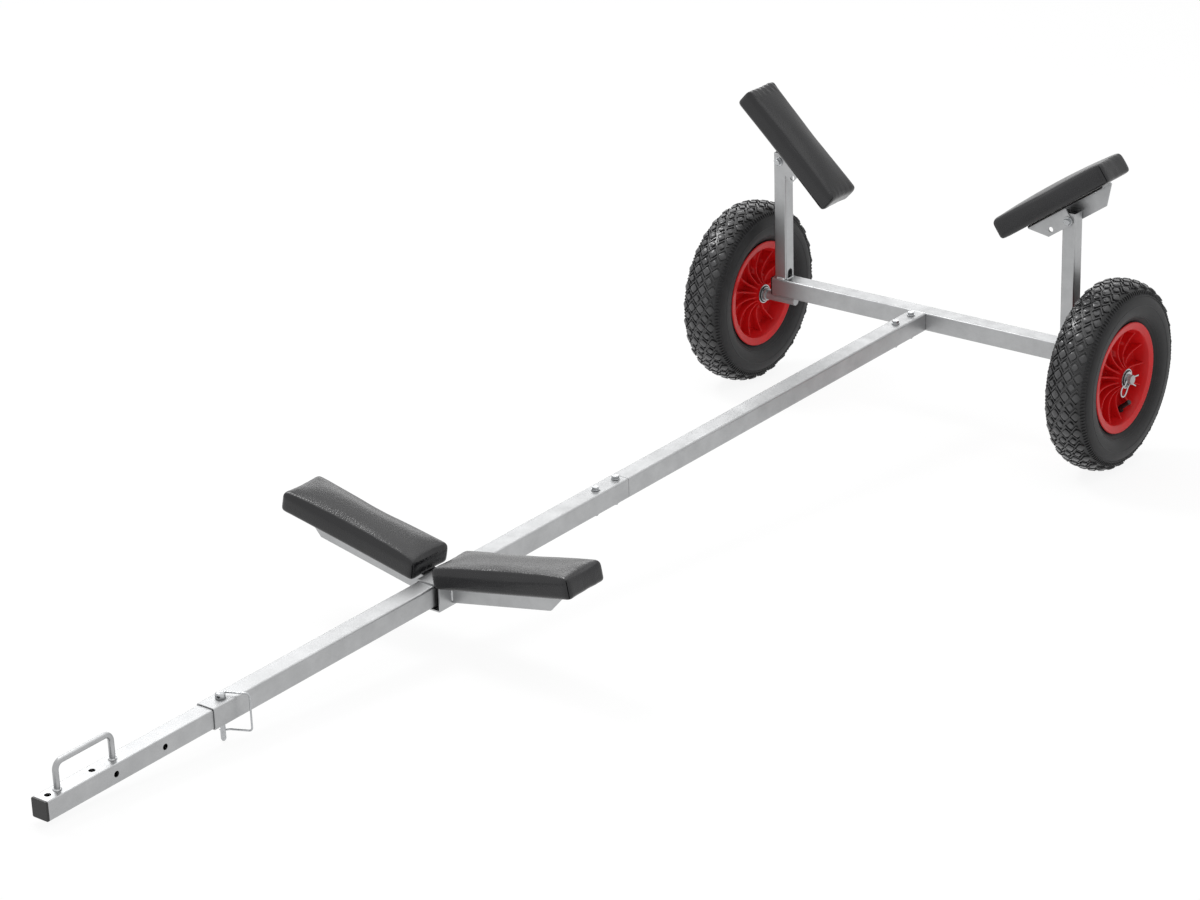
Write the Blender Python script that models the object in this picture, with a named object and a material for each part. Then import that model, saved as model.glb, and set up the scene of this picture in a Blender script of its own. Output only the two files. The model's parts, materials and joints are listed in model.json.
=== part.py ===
# Trolley for an inflatable boat: a cross beam on two pneumatic wheels, a drawbar in three bolted
# lengths, two padded hull rests that tilt on posts and a padded carriage that slides on the drawbar.
#
# Everything is modelled level, with the cross beam's centre as its origin, +X to the right hand
# side, +Y to the rear and the drawbar running along -Y. The whole level model hangs on one empty
# that tips it nose down until both tyres and the lock pin's tip touch the ground at z = 0, and
# that puts the origin under the middle of the whole trolley.
# All sizes are metres.
import math

import bmesh
import bpy
from mathutils import Matrix, Vector

# Fits
SEAT_GAP = 0.0003
RUNNING_GAP = 0.0006

# How far a cutter runs past the faces it opens
TOOL_PAST = 0.002

# Cross beam and posts
BEAM_SIDE = 0.040
BEAM_WALL = 0.002
BEAM_CORNER = 0.004
BEAM_LENGTH = 0.745
BEAM_CAP_FLANGE = 0.003
BEAM_CAP_PLUG = 0.018
POST_SIDE = 0.030
POST_WALL = 0.002
POST_CORNER = 0.003
POST_END_MARGIN = 0.0042
POST_HEIGHT = 0.283
POST_VENT_RADIUS = 0.008

# Axle stubs, bushes and wheels
AXLE_DIAMETER = 0.020
AXLE_UNDER_BEAM = 0.0495
AXLE_OVERHANG = 0.0155
AXLE_COLLAR_DIAMETER = 0.027
AXLE_COLLAR_LENGTH = 0.006
AXLE_END_CHAMFER = 0.0015
TYRE_TO_POST = 0.0292
HUB_LENGTH = 0.080
HUB_DIAMETER = 0.040
BUSH_DIAMETER = 0.027
BUSH_LENGTH = 0.022
BUSH_COLLAR = 0.0015
BUSH_LIP_INSET = 0.001
WASHER_DIAMETER = 0.037
WASHER_THICKNESS = 0.0025
CLIP_WIRE = 0.0035
CLIP_EYE_LENGTH = 0.024
CLIP_EYE_WIDTH = 0.013
CLIP_LEG_LENGTH = 0.030
CLIP_HOLE = 0.0045
CLIP_TILT = math.radians(14.0)

# Rim
RIM_DIAMETER = 0.232
RIM_WIDTH = 0.076
RIM_RING_WIDTH = 0.016
RIM_RING_DEPTH = 0.003
RIM_FLANGE_WALL = 0.0025
RIM_WELL_SIDE = 0.018
RIM_SEAT_DIAMETER = 0.207
RIM_WELL_DIAMETER = 0.196
RIM_WALL = 0.0035
RIM_WEB = 0.005
HUB_DRAFT = 0.002
WELL_WAIST = 0.6
RIM_SLICES = 26
RIB_COUNT = 13
RIB_THICKNESS = 0.003
RIB_DIP = 0.017
RIB_ROOT_BELOW_HUB = 0.003
RIB_TIP_BELOW_RING = 0.012
RIB_STEPS = 4
VALVE_HOLE = 0.012
VALVE_ANGLE = math.radians(20.0)
VALVE_OFFSET = 0.0115

# Tyre and inner tube
TYRE_DIAMETER = 0.400
TYRE_WIDTH = 0.100
TYRE_WALL = 0.006
BEAD_LENGTH = 0.009
BEAD_EASE = 0.002
BEAD_RIDGE = (0.0015, 0.0012)
TYRE_SLICES = 30
LUG_HEIGHT = 0.004
LUG_INSET = 0.0022
LUG_TAPER = 0.0008
TUBE_FIT = 0.0006
STEM_DIAMETER = 0.0105
STEM_ROOT = 0.006
STEM_BEND_PLACE = 0.012
STEM_BEND = math.radians(48.0)
STEM_BEND_RADIUS = 0.008
STEM_REACH = 0.034

# Drawbar
BAR_SIDE = 0.040
BAR_WALL = 0.002
BAR_CORNER = 0.004
INNER_SIDE = 0.035
INNER_WALL = 0.0025
INNER_CORNER = 0.003
REAR_BAR_START = 0.0205
REAR_BAR_END = 1.0527
BAR_BUTT_GAP = 0.0008
MIDDLE_BAR_END = 2.180
FRONT_BAR_START = 1.560
FRONT_BAR_END = 2.553
SPIGOT_LENGTH = 0.130
JOINT_SLEEVE_START = 0.955
JOINT_SLEEVE_END = 1.180
NOSE_CAP_FLANGE = 0.004
NOSE_CAP_PLUG = 0.018
BOLT_DIAMETER = 0.008
BOLT_HOLE = 0.009
BOLT_PLACES = (0.0465, 0.105, 1.068, 1.129)
HEX_FLATS = 0.013
BOLT_HEAD_HEIGHT = 0.0053
NUT_HEIGHT = 0.0065
BOLT_WASHER_DIAMETER = 0.017
BOLT_WASHER_THICKNESS = 0.0016
BOLT_TAIL = 0.004
BOLT_SIDES = 12

# Lock pin with its wire bow, and the tow handle
PIN_PLACE = 2.144
PIN_DIAMETER = 0.0095
PIN_TIP_DIAMETER = 0.005
PIN_TIP_CHAMFER = 0.004
PIN_HOLE = 0.011
PIN_HEAD_DIAMETER = 0.018
PIN_HEAD_HEIGHT = 0.010
PIN_HEAD_CHAMFER = 0.0025
PIN_REACH_BELOW = 0.0395
BOW_WIRE = 0.0035
BOW_REACH = 0.052
BOW_DROP = 0.069
BOW_HOOK = 0.009
BOW_ANGLE = math.radians(25.0)
HANDLE_WIRE = 0.0105
HANDLE_REAR_LEG = 2.394
HANDLE_FRONT_LEG = 2.516
HANDLE_HEIGHT = 0.0525
HANDLE_BEND = 0.014
TOP_HOLE = 0.0115
TOP_HOLE_PLACES = (2.440, 2.537)
SIDE_HOLE = 0.011
SIDE_HOLE_PLACES = (2.2937, 2.4045)

# Hull rests at the rear
REST_LENGTH = 0.300
REST_WIDTH = 0.097
REST_THICKNESS = 0.047
BOARD_THICKNESS = 0.012
BOARD_MARGIN = 0.007
BOARD_END_MARGIN = 0.018
BOARD_CORNER = 0.006
PIVOT_HEIGHT = 0.286
PIVOT_TO_BOARD = 0.030
REST_TILT_RIGHT = math.radians(34.5)
REST_TILT_LEFT = math.radians(43.3)
BRACKET_WALL = 0.003
BRACKET_DEPTH = 0.039
BRACKET_BEND = 0.0016
BRACKET_BEND_SHARE = 0.3
BRACKET_INNER_REACH = 0.094
BRACKET_OUTER_REACH = 0.111
BRACKET_FLANGE_OVERLAP = 0.009
BRACKET_SHOULDER = 0.0048
BRACKET_TRIM_DEPTH = 0.0036
BRACKET_CHAMFER = 0.035
BRACKET_FREE_HOLE_PLACE = 0.046
BRACKET_FREE_HOLE_DEPTH = 0.028
SCREW_DIAMETER = 0.005
SCREW_HOLE = 0.006
SCREW_HEAD_DIAMETER = 0.010
SCREW_HEAD_HEIGHT = 0.0025
BRACKET_SCREW_PLACES = (-0.078, 0.078)

# Cushion form
PAD_CROWN = 0.004
PAD_HEM_INSET = 0.002
PAD_HEM_HEIGHT = 0.006
PAD_EDGE_RADIUS = 0.014
PAD_DRAW_IN = 0.003
PAD_LONG_COUNT = 5
PAD_SHORT_COUNT = 2

# Sliding carriage on the drawbar
SLEEVE_SIDE = 0.053
SLEEVE_WALL = 0.003
SLEEVE_CORNER = 0.004
SLEEVE_LENGTH = 0.096
CARRIAGE_PLACE = 1.570
FRONT_REST_LENGTH = 0.318
FRONT_REST_WIDTH = 0.104
FRONT_REST_THICKNESS = 0.043
FRONT_REST_SLOPE = math.radians(11.3)
FRONT_REST_PLANE = 0.0086
FRONT_REST_START_LEFT = 0.0316
FRONT_REST_START_RIGHT = 0.0158
ARM_WALL = 0.004
ARM_SIDE = 0.036
ARM_FRONT = 0.015
ARM_REACH_LEFT = 0.305
ARM_REACH_RIGHT = 0.281
ARM_CHAMFER = 0.030
ARM_CHAMFER_RISE = 0.023
ARM_SCREW_PLACES = (0.075, 0.215)

# Places that follow from the sizes
POST_SPACING = BEAM_LENGTH - POST_SIDE - 2 * POST_END_MARGIN
WHEEL_TRACK = POST_SPACING + POST_SIDE + 2 * TYRE_TO_POST + TYRE_WIDTH
AXLE_INNER_END = BEAM_LENGTH / 2 - AXLE_UNDER_BEAM
AXLE_HEIGHT = -(BEAM_SIDE / 2 + SEAT_GAP + AXLE_DIAMETER / 2)
WHEEL_OFFSET = WHEEL_TRACK / 2
TYRE_RADIUS = TYRE_DIAMETER / 2
CROWN_RADIUS = (TYRE_RADIUS - LUG_HEIGHT) / math.cos(math.pi / TYRE_SLICES)
NOSE_Y = FRONT_BAR_END + NOSE_CAP_FLANGE
REST_POINT_Y = PIN_PLACE + PIN_TIP_DIAMETER / 2
REST_POINT_DROP = BAR_SIDE / 2 + PIN_REACH_BELOW

REAR_PAD = (REST_LENGTH, REST_WIDTH, REST_THICKNESS)
FRONT_PAD = (FRONT_REST_LENGTH, FRONT_REST_WIDTH, FRONT_REST_THICKNESS)

LEVEL = "level_frame"


def resting_tilt():
    """Angle that puts the lock pin's tip, which hangs lower than the nose, and both tyres on the ground."""
    lift = -AXLE_HEIGHT - REST_POINT_DROP
    return math.asin(TYRE_RADIUS / math.hypot(lift, REST_POINT_Y)) + math.atan2(lift, REST_POINT_Y)


def standing_height():
    """Height of the cross beam's centre above the ground."""
    return TYRE_RADIUS - AXLE_HEIGHT * math.cos(resting_tilt())


def rearward_shift():
    """How far back the cross beam sits, so that the origin is midway between nose and tyres."""
    tilt = resting_tilt()
    nose = -NOSE_Y * math.cos(tilt) - INNER_SIDE / 2 * math.sin(tilt)
    tail = TYRE_RADIUS - AXLE_HEIGHT * math.sin(tilt)
    return -(nose + tail) / 2


def clear_scene():
    for obj in list(bpy.data.objects):
        bpy.data.objects.remove(obj, do_unlink=True)


def finish_of(name, colour, roughness, metallic=0.0):
    """A plain Principled material, made once and shared."""
    found = bpy.data.materials.get(name)
    if found:
        return found
    made = bpy.data.materials.new(name)
    made.use_nodes = True
    shader = made.node_tree.nodes["Principled BSDF"]
    shader.inputs["Base Color"].default_value = (*colour, 1.0)
    shader.inputs["Roughness"].default_value = roughness
    shader.inputs["Metallic"].default_value = metallic
    made.diffuse_color = (*colour, 1.0)
    return made


def galvanised():
    return finish_of("galvanised_steel", (0.50, 0.51, 0.51), 0.42, 0.85)


def bright_zinc():
    return finish_of("bright_zinc", (0.62, 0.63, 0.64), 0.25, 0.95)


def black_plastic():
    return finish_of("black_plastic", (0.02, 0.02, 0.02), 0.5)


def black_rubber():
    return finish_of("black_rubber", (0.03, 0.03, 0.032), 0.72)


def red_plastic():
    return finish_of("red_plastic", (0.55, 0.02, 0.02), 0.35)


def black_vinyl():
    return finish_of("black_vinyl", (0.035, 0.035, 0.037), 0.4)


def black_board():
    return finish_of("black_board", (0.03, 0.03, 0.03), 0.8)


def empty(name, location=(0, 0, 0), rotation=(0, 0, 0), parent=None):
    obj = bpy.data.objects.new(name, None)
    bpy.context.scene.collection.objects.link(obj)
    obj.parent = parent
    obj.location = location
    obj.rotation_euler = rotation
    return obj


def place(name, bm, material, location=(0, 0, 0), rotation=(0, 0, 0), parent=None, smooth=35.0):
    """Turn a finished bmesh into a named object under a parent."""
    bmesh.ops.remove_doubles(bm, verts=bm.verts, dist=1e-6)
    bmesh.ops.recalc_face_normals(bm, faces=bm.faces)
    if bm.calc_volume(signed=True) < 0:
        bmesh.ops.reverse_faces(bm, faces=bm.faces)
    mesh = bpy.data.meshes.new(name)
    bm.to_mesh(mesh)
    bm.free()
    mesh.shade_smooth()
    mesh.set_sharp_from_angle(angle=math.radians(smooth))
    obj = bpy.data.objects.new(name, mesh)
    bpy.context.scene.collection.objects.link(obj)
    obj.parent = parent or bpy.data.objects[LEVEL]
    obj.location = location
    obj.rotation_euler = rotation
    obj.data.materials.append(material)
    return obj


def hide_tool(tool):
    tool.hide_render = True
    tool.display_type = "WIRE"
    return tool


def combine(obj, tool, operation):
    modifier = obj.modifiers.new(operation.lower(), "BOOLEAN")
    modifier.operation = operation
    modifier.solver = "EXACT"
    modifier.object = hide_tool(tool)


def rounded_rectangle(width, height, radius, steps=2):
    """Corner-rounded outline in two dimensions, anticlockwise."""
    points = []
    for quarter, (sx, sy) in enumerate(((1, 1), (-1, 1), (-1, -1), (1, -1))):
        centre = Vector((sx * (width / 2 - radius), sy * (height / 2 - radius)))
        for step in range(steps + 1):
            angle = math.pi / 2 * (quarter + step / steps)
            points.append(centre + radius * Vector((math.cos(angle), math.sin(angle))))
    return points


def circle(diameter, steps, phase=0.0):
    angles = [2 * math.pi * step / steps + phase for step in range(steps)]
    return [Vector((math.cos(angle), math.sin(angle))) * diameter / 2 for angle in angles]


def flat_ring(bm, points, z=0.0):
    return [bm.verts.new((point[0], point[1], z)) for point in points]


def prism(outline, length, start=0.0):
    """Solid of an outline in XY, from start along +Z."""
    bm = bmesh.new()
    face = bm.faces.new(flat_ring(bm, outline, start))
    grown = bmesh.ops.extrude_face_region(bm, geom=[face])
    moved = [item for item in grown["geom"] if isinstance(item, bmesh.types.BMVert)]
    bmesh.ops.translate(bm, verts=moved, vec=(0, 0, length))
    return bm


def pipe(outer, inner, length, start=0.0):
    """Open-ended hollow section between two outlines of equal point count."""
    bm = bmesh.new()
    loops = []
    for outline in (outer, inner):
        ring = flat_ring(bm, outline, start)
        loops += [bm.edges.new(pair) for pair in zip(ring, ring[1:] + ring[:1])]
    made = bmesh.ops.bridge_loops(bm, edges=loops)
    grown = bmesh.ops.extrude_face_region(bm, geom=made["faces"])
    moved = [item for item in grown["geom"] if isinstance(item, bmesh.types.BMVert)]
    bmesh.ops.translate(bm, verts=moved, vec=(0, 0, length))
    return bm


def square_tube(side, wall, corner, length, start=0.0):
    outer = rounded_rectangle(side, side, corner)
    inner = rounded_rectangle(side - 2 * wall, side - 2 * wall, max(corner - wall, wall / 2))
    return pipe(outer, inner, length, start)


def turned(profile, steps, closed=True):
    """Spin a (radius, height) profile about Z. An open profile starts and ends on the axis."""
    bm = bmesh.new()
    points = [bm.verts.new((radius, 0, height)) for radius, height in profile]
    pairs = list(zip(points, points[1:]))
    if closed:
        pairs.append((points[-1], points[0]))
    lines = [bm.edges.new(pair) for pair in pairs]
    turn = 2 * math.pi
    bmesh.ops.spin(
        bm, geom=points + lines, axis=(0, 0, 1), cent=(0, 0, 0), angle=turn, steps=steps, use_merge=True
    )
    bmesh.ops.remove_doubles(bm, verts=bm.verts, dist=1e-6)
    bmesh.ops.dissolve_degenerate(bm, edges=bm.edges, dist=1e-7)
    return bm


def rod(diameter, length, steps=16, start=0.0, chamfer=0.0):
    """Round bar along +Z, its ends chamfered if asked."""
    radius = diameter / 2
    profile = [(0, start), (radius - chamfer, start)]
    if chamfer:
        profile += [(radius, start + chamfer), (radius, start + length - chamfer)]
        profile += [(radius - chamfer, start + length), (0, start + length)]
    else:
        profile += [(radius, start + length), (0, start + length)]
    return turned(profile, steps, closed=False)


def cutter_rod(name, diameter, length, location, rotation=(0, 0, 0), parent=None, steps=8):
    """Round cutter centred on its place, longer than the wall that it goes through."""
    bm = rod(diameter, length, steps, start=-length / 2)
    return place(name, bm, black_plastic(), location, rotation, parent)


def wire(name, route, diameter, material, location=(0, 0, 0), rotation=(0, 0, 0), parent=None, sides=8):
    """Round wire along a route: parallel rings carried along it and closed with flat ends."""
    bm = bmesh.new()
    points = [Vector(point) for point in route]
    rings = []
    side = None
    for index, point in enumerate(points):
        before = points[max(index - 1, 0)]
        after = points[min(index + 1, len(points) - 1)]
        along = (after - before).normalized()
        if side is None:
            side = along.orthogonal().normalized()
        side = (side - along * side.dot(along)).normalized()
        across = along.cross(side)
        turn_in = 1.0
        if 0 < index < len(points) - 1:
            half_bend = (point - before).angle(after - point) / 2
            turn_in = 1 / math.cos(half_bend)
            bend = (after - point).normalized() - (point - before).normalized()
        ring = []
        for step in range(sides):
            angle = 2 * math.pi * (step + 0.5) / sides
            offset = side * math.cos(angle) + across * math.sin(angle)
            if turn_in > 1.0001:
                out = bend.normalized()
                offset += out * offset.dot(out) * (turn_in - 1)
            ring.append(bm.verts.new(point + offset * diameter / 2))
        rings.append(ring)
    for one, two in zip(rings, rings[1:]):
        for step in range(sides):
            after = (step + 1) % sides
            bm.faces.new((one[step], one[after], two[after], two[step]))
    bm.faces.new(rings[0])
    bm.faces.new(rings[-1])
    return place(name, bm, material, location, rotation, parent)


def bend_points(corner, arrive, leave, radius, steps=4):
    """Points of the arc that rounds a corner between two directions of travel."""
    arrive = Vector(arrive).normalized()
    leave = Vector(leave).normalized()
    half = arrive.angle(leave) / 2
    back = radius * math.tan(half)
    start = Vector(corner) - arrive * back
    normal = (leave - arrive * leave.dot(arrive)).normalized()
    centre = start + normal * radius
    points = []
    for step in range(steps + 1):
        angle = 2 * half * step / steps
        points.append(centre - normal * radius * math.cos(angle) + arrive * radius * math.sin(angle))
    return points


# Directions of a part whose own length is +Z
ALONG_X = (0, math.pi / 2, 0)
ALONG_FORWARD = (math.pi / 2, 0, 0)


def build_beam():
    beam = place(
        "cross_beam",
        square_tube(BEAM_SIDE, BEAM_WALL, BEAM_CORNER, BEAM_LENGTH, -BEAM_LENGTH / 2),
        galvanised(),
        rotation=ALONG_X,
    )
    inside = BEAM_SIDE - 2 * BEAM_WALL - 2 * SEAT_GAP
    for side, word in ((-1, "left"), (1, "right")):
        bm = prism(rounded_rectangle(BEAM_SIDE, BEAM_SIDE, BEAM_CORNER), BEAM_CAP_FLANGE)
        cap = place(
            f"beam_end_cap_{word}",
            bm,
            black_plastic(),
            (side * (BEAM_LENGTH / 2 + SEAT_GAP), 0, 0),
            (0, side * math.pi / 2, 0),
        )
        plug = place(
            f"beam_cap_plug_{word}",
            prism(
                rounded_rectangle(inside, inside, BEAM_CORNER - BEAM_WALL),
                BEAM_CAP_PLUG + BEAM_CAP_FLANGE / 2,
                -BEAM_CAP_PLUG,
            ),
            black_plastic(),
            cap.location,
            cap.rotation_euler,
        )
        combine(cap, plug, "UNION")
    return beam


def build_post(side, word):
    foot = BEAM_SIDE / 2 + SEAT_GAP
    post = place(
        f"post_{word}",
        square_tube(POST_SIDE, POST_WALL, POST_CORNER, POST_HEIGHT - SEAT_GAP),
        galvanised(),
        (side * POST_SPACING / 2, 0, foot),
    )
    combine(
        post,
        cutter_rod(
            f"post_pivot_drill_{word}",
            BOLT_HOLE,
            POST_SIDE * 1.5,
            (side * POST_SPACING / 2, 0, PIVOT_HEIGHT),
            ALONG_FORWARD,
        ),
        "DIFFERENCE",
    )
    combine(
        post,
        cutter_rod(
            f"post_vent_drill_{word}",
            POST_VENT_RADIUS * 2,
            POST_SIDE / 2,
            (side * (POST_SPACING / 2 - POST_SIDE / 2), 0, foot),
            ALONG_X,
        ),
        "DIFFERENCE",
    )


def axle_reach():
    """From the track's centre line to the outer end of an axle stub."""
    return WHEEL_OFFSET + HUB_LENGTH / 2 + BUSH_COLLAR + WASHER_THICKNESS + 3 * SEAT_GAP


def clip_place():
    return axle_reach() + CLIP_WIRE / 2 + SEAT_GAP


def axle_end():
    return axle_reach() + AXLE_OVERHANG


def inner_seat():
    """Where the axle's collar stops, inboard of the inner washer."""
    return WHEEL_OFFSET - HUB_LENGTH / 2 - BUSH_COLLAR - WASHER_THICKNESS - 3 * SEAT_GAP


def build_axle(side, word):
    radius = AXLE_DIAMETER / 2
    collar = AXLE_COLLAR_DIAMETER / 2
    collar_end = inner_seat()
    collar_start = collar_end - AXLE_COLLAR_LENGTH
    end = axle_end()
    profile = (
        (0, AXLE_INNER_END),
        (radius, AXLE_INNER_END),
        (radius, collar_start),
        (collar, collar_start),
        (collar, collar_end),
        (radius, collar_end),
        (radius, end - AXLE_END_CHAMFER),
        (radius - AXLE_END_CHAMFER, end),
        (0, end),
    )
    axle = place(
        f"axle_stub_{word}",
        turned(profile, 16, closed=False),
        bright_zinc(),
        (0, 0, AXLE_HEIGHT),
        (0, side * math.pi / 2, 0),
    )
    hole = cutter_rod(
        f"axle_clip_drill_{word}",
        CLIP_HOLE,
        AXLE_DIAMETER * 1.5,
        (side * clip_place(), 0, AXLE_HEIGHT),
        (math.pi / 2 + CLIP_TILT, 0, 0),
    )
    combine(axle, hole, "DIFFERENCE")


def build_washers(side, word):
    bore = AXLE_DIAMETER + 2 * RUNNING_GAP
    ring = (
        (bore / 2, 0),
        (WASHER_DIAMETER / 2, 0),
        (WASHER_DIAMETER / 2, WASHER_THICKNESS),
        (bore / 2, WASHER_THICKNESS),
    )
    starts = {
        "inner": inner_seat() + SEAT_GAP,
        "outer": WHEEL_OFFSET + HUB_LENGTH / 2 + BUSH_COLLAR + 2 * SEAT_GAP,
    }
    for which, start in starts.items():
        place(
            f"axle_washer_{which}_{word}",
            turned(ring, 16),
            bright_zinc(),
            (side * start, 0, AXLE_HEIGHT),
            (0, side * math.pi / 2, 0),
        )


def build_clip(side, word):
    """R-clip: one leg through the axle's hole, an eye in front and a sprung leg over the axle."""
    across = AXLE_DIAMETER / 2 + CLIP_WIRE / 2 + SEAT_GAP
    neck = -AXLE_DIAMETER / 2 - 1.5 * CLIP_WIRE
    length = CLIP_EYE_LENGTH
    width = CLIP_EYE_WIDTH / 2
    points = [(0, CLIP_LEG_LENGTH, 0), (0, neck, 0)]
    for step in range(1, 10):
        turn = math.pi * step / 10
        points.append((0, neck - length * math.sin(turn), width * (1 - math.cos(turn))))
    points.append((0, neck + CLIP_WIRE, 2 * width))
    points.append((0, -AXLE_DIAMETER * 0.28, across * 0.94 + 0.0012))
    points.append((0, 0, across + 0.0010))
    points.append((0, AXLE_DIAMETER * 0.42, across * 0.94))
    points.append((0, CLIP_LEG_LENGTH * 0.9, across + 0.003))
    wire(
        f"axle_clip_{word}",
        points,
        CLIP_WIRE,
        bright_zinc(),
        (side * clip_place(), 0, AXLE_HEIGHT),
        (CLIP_TILT, 0, 0),
        sides=6,
    )


def half_profile(points):
    """Mirror a (radius, +height) list to make a closed profile through both halves."""
    return list(points) + [(radius, -height) for radius, height in reversed(points)]


def bead_seat_side():
    """Half the width between the flanges at the tyre's seat."""
    return RIM_WIDTH / 2 - RIM_FLANGE_WALL - RIM_RING_DEPTH


def build_rim(name, hub):
    bore = BUSH_DIAMETER / 2 + SEAT_GAP
    flange = RIM_DIAMETER / 2
    half = RIM_WIDTH / 2
    seat = RIM_SEAT_DIAMETER / 2
    well = RIM_WELL_DIAMETER / 2
    ring_inner = flange - RIM_RING_WIDTH
    points = (
        (bore, HUB_LENGTH / 2),
        (HUB_DIAMETER / 2, HUB_LENGTH / 2),
        (HUB_DIAMETER / 2 + HUB_DRAFT, RIM_WEB / 2),
        (well - 2 * RIM_WALL, RIM_WEB / 2),
        (well - RIM_WALL, half * WELL_WAIST),
        (ring_inner, half - RIM_RING_DEPTH),
        (flange, half),
        (flange, half - RIM_FLANGE_WALL),
        (seat, bead_seat_side()),
        (well, half - RIM_WELL_SIDE),
    )
    rim = place(name, turned(half_profile(points), RIM_SLICES), red_plastic(), parent=hub)
    combine(rim, build_ribs(name, hub, ring_inner, half), "UNION")
    drill = cutter_rod(
        f"{name}_valve_drill",
        VALVE_HOLE,
        0.030,
        (well * math.cos(VALVE_ANGLE), well * math.sin(VALVE_ANGLE), hub["side"] * VALVE_OFFSET),
        (0, math.pi / 2, VALVE_ANGLE),
        hub,
        steps=12,
    )
    combine(rim, drill, "DIFFERENCE")
    return rim


def build_ribs(name, hub, ring_inner, half):
    """Radial ribs on both sides of the web, each edge dipping between hub and ring."""
    inner = HUB_DIAMETER / 2 - HUB_DRAFT
    outer = RIM_WELL_DIAMETER / 2 - RIM_WALL / 2
    top = HUB_LENGTH / 2 - RIB_ROOT_BELOW_HUB
    tip = half - RIB_TIP_BELOW_RING
    outline = []
    for step in range(RIB_STEPS + 1):
        share = step / RIB_STEPS
        radius = inner + (outer - inner) * share
        height = top + (tip - top) * share - RIB_DIP * math.sin(math.pi * share ** 0.8)
        outline.append((radius, height))
    outline += [(radius, -height) for radius, height in reversed(outline)]
    bm = bmesh.new()
    for number in range(RIB_COUNT):
        turn = Matrix.Rotation(VALVE_ANGLE + 2 * math.pi * (number + 0.5) / RIB_COUNT, 3, "Z")
        sheets = []
        for edge in (-RIB_THICKNESS / 2, RIB_THICKNESS / 2):
            sheets.append([bm.verts.new(turn @ Vector((r, edge, h))) for r, h in outline])
        count = len(outline)
        for index in range(count):
            after = (index + 1) % count
            bm.faces.new((sheets[0][index], sheets[0][after], sheets[1][after], sheets[1][index]))
        bm.faces.new(sheets[0])
        bm.faces.new(sheets[1])
    return place(f"{name}_ribs", bm, red_plastic(), parent=hub)


def tyre_outer_profile():
    """Half section of the casing's outside, bead to crown, as (radius, half width)."""
    bead = RIM_SEAT_DIAMETER / 2 + SEAT_GAP
    flange_side = bead_seat_side() - SEAT_GAP
    half = TYRE_WIDTH / 2
    depth = CROWN_RADIUS - RIM_DIAMETER / 2
    return (
        (bead, flange_side - BEAD_LENGTH),
        (bead + BEAD_EASE, flange_side),
        (RIM_DIAMETER / 2 + BEAD_RIDGE[0], flange_side + BEAD_RIDGE[1]),
        (RIM_DIAMETER / 2 + depth * 0.24, half * 0.95),
        (RIM_DIAMETER / 2 + depth * 0.52, half),
        (RIM_DIAMETER / 2 + depth * 0.76, half * 0.88),
        (RIM_DIAMETER / 2 + depth * 0.94, half * 0.56),
    )


def tyre_inner_profile():
    half = TYRE_WIDTH / 2 - TYRE_WALL
    depth = CROWN_RADIUS - TYRE_WALL - RIM_DIAMETER / 2
    flange_side = bead_seat_side() - SEAT_GAP
    return (
        (RIM_DIAMETER / 2 - TYRE_WALL, flange_side - BEAD_LENGTH + BEAD_EASE / 2),
        (RIM_DIAMETER / 2 + depth * 0.45, half),
        (RIM_DIAMETER / 2 + depth * 0.90, half * 0.62),
    )


def build_tyre(name, hub):
    outer = tyre_outer_profile()
    inner = tyre_inner_profile()
    profile = list(outer) + [(CROWN_RADIUS, 0.0)] + [(radius, -height) for radius, height in reversed(outer)]
    profile += [(radius, -height) for radius, height in inner] + list(reversed(inner))
    bm = turned(profile, TYRE_SLICES)
    bm.normal_update()
    bmesh.ops.recalc_face_normals(bm, faces=bm.faces)
    raise_lugs(bm, outer)
    return place(name, bm, black_rubber(), parent=hub, smooth=28.0)


def raise_lugs(bm, outer):
    """Raise staggered tread blocks out of the crown and shoulder bands."""
    edges = [height for radius, height in outer[5:]] + [0.0]
    limits = sorted(edges + [-height for height in edges[:-1]])
    floor = outer[5][0]
    chosen = []
    for face in bm.faces:
        centre = face.calc_center_median()
        radius = math.hypot(centre.x, centre.y)
        outward = face.normal.x * centre.x + face.normal.y * centre.y > 0
        if radius < floor - LUG_TAPER or not outward:
            continue
        bands = [index for index, low in enumerate(limits[:-1]) if low < centre.z < limits[index + 1]]
        if not bands:
            continue
        angle = math.atan2(centre.y, centre.x) % (2 * math.pi)
        slice_number = int(angle / (2 * math.pi) * TYRE_SLICES)
        if (slice_number + bands[0]) % 2 == 0:
            chosen.append(face)
    bmesh.ops.inset_individual(bm, faces=chosen, thickness=LUG_INSET, use_even_offset=True)
    bmesh.ops.inset_individual(bm, faces=chosen, thickness=LUG_TAPER, depth=LUG_HEIGHT, use_even_offset=True)


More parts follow.
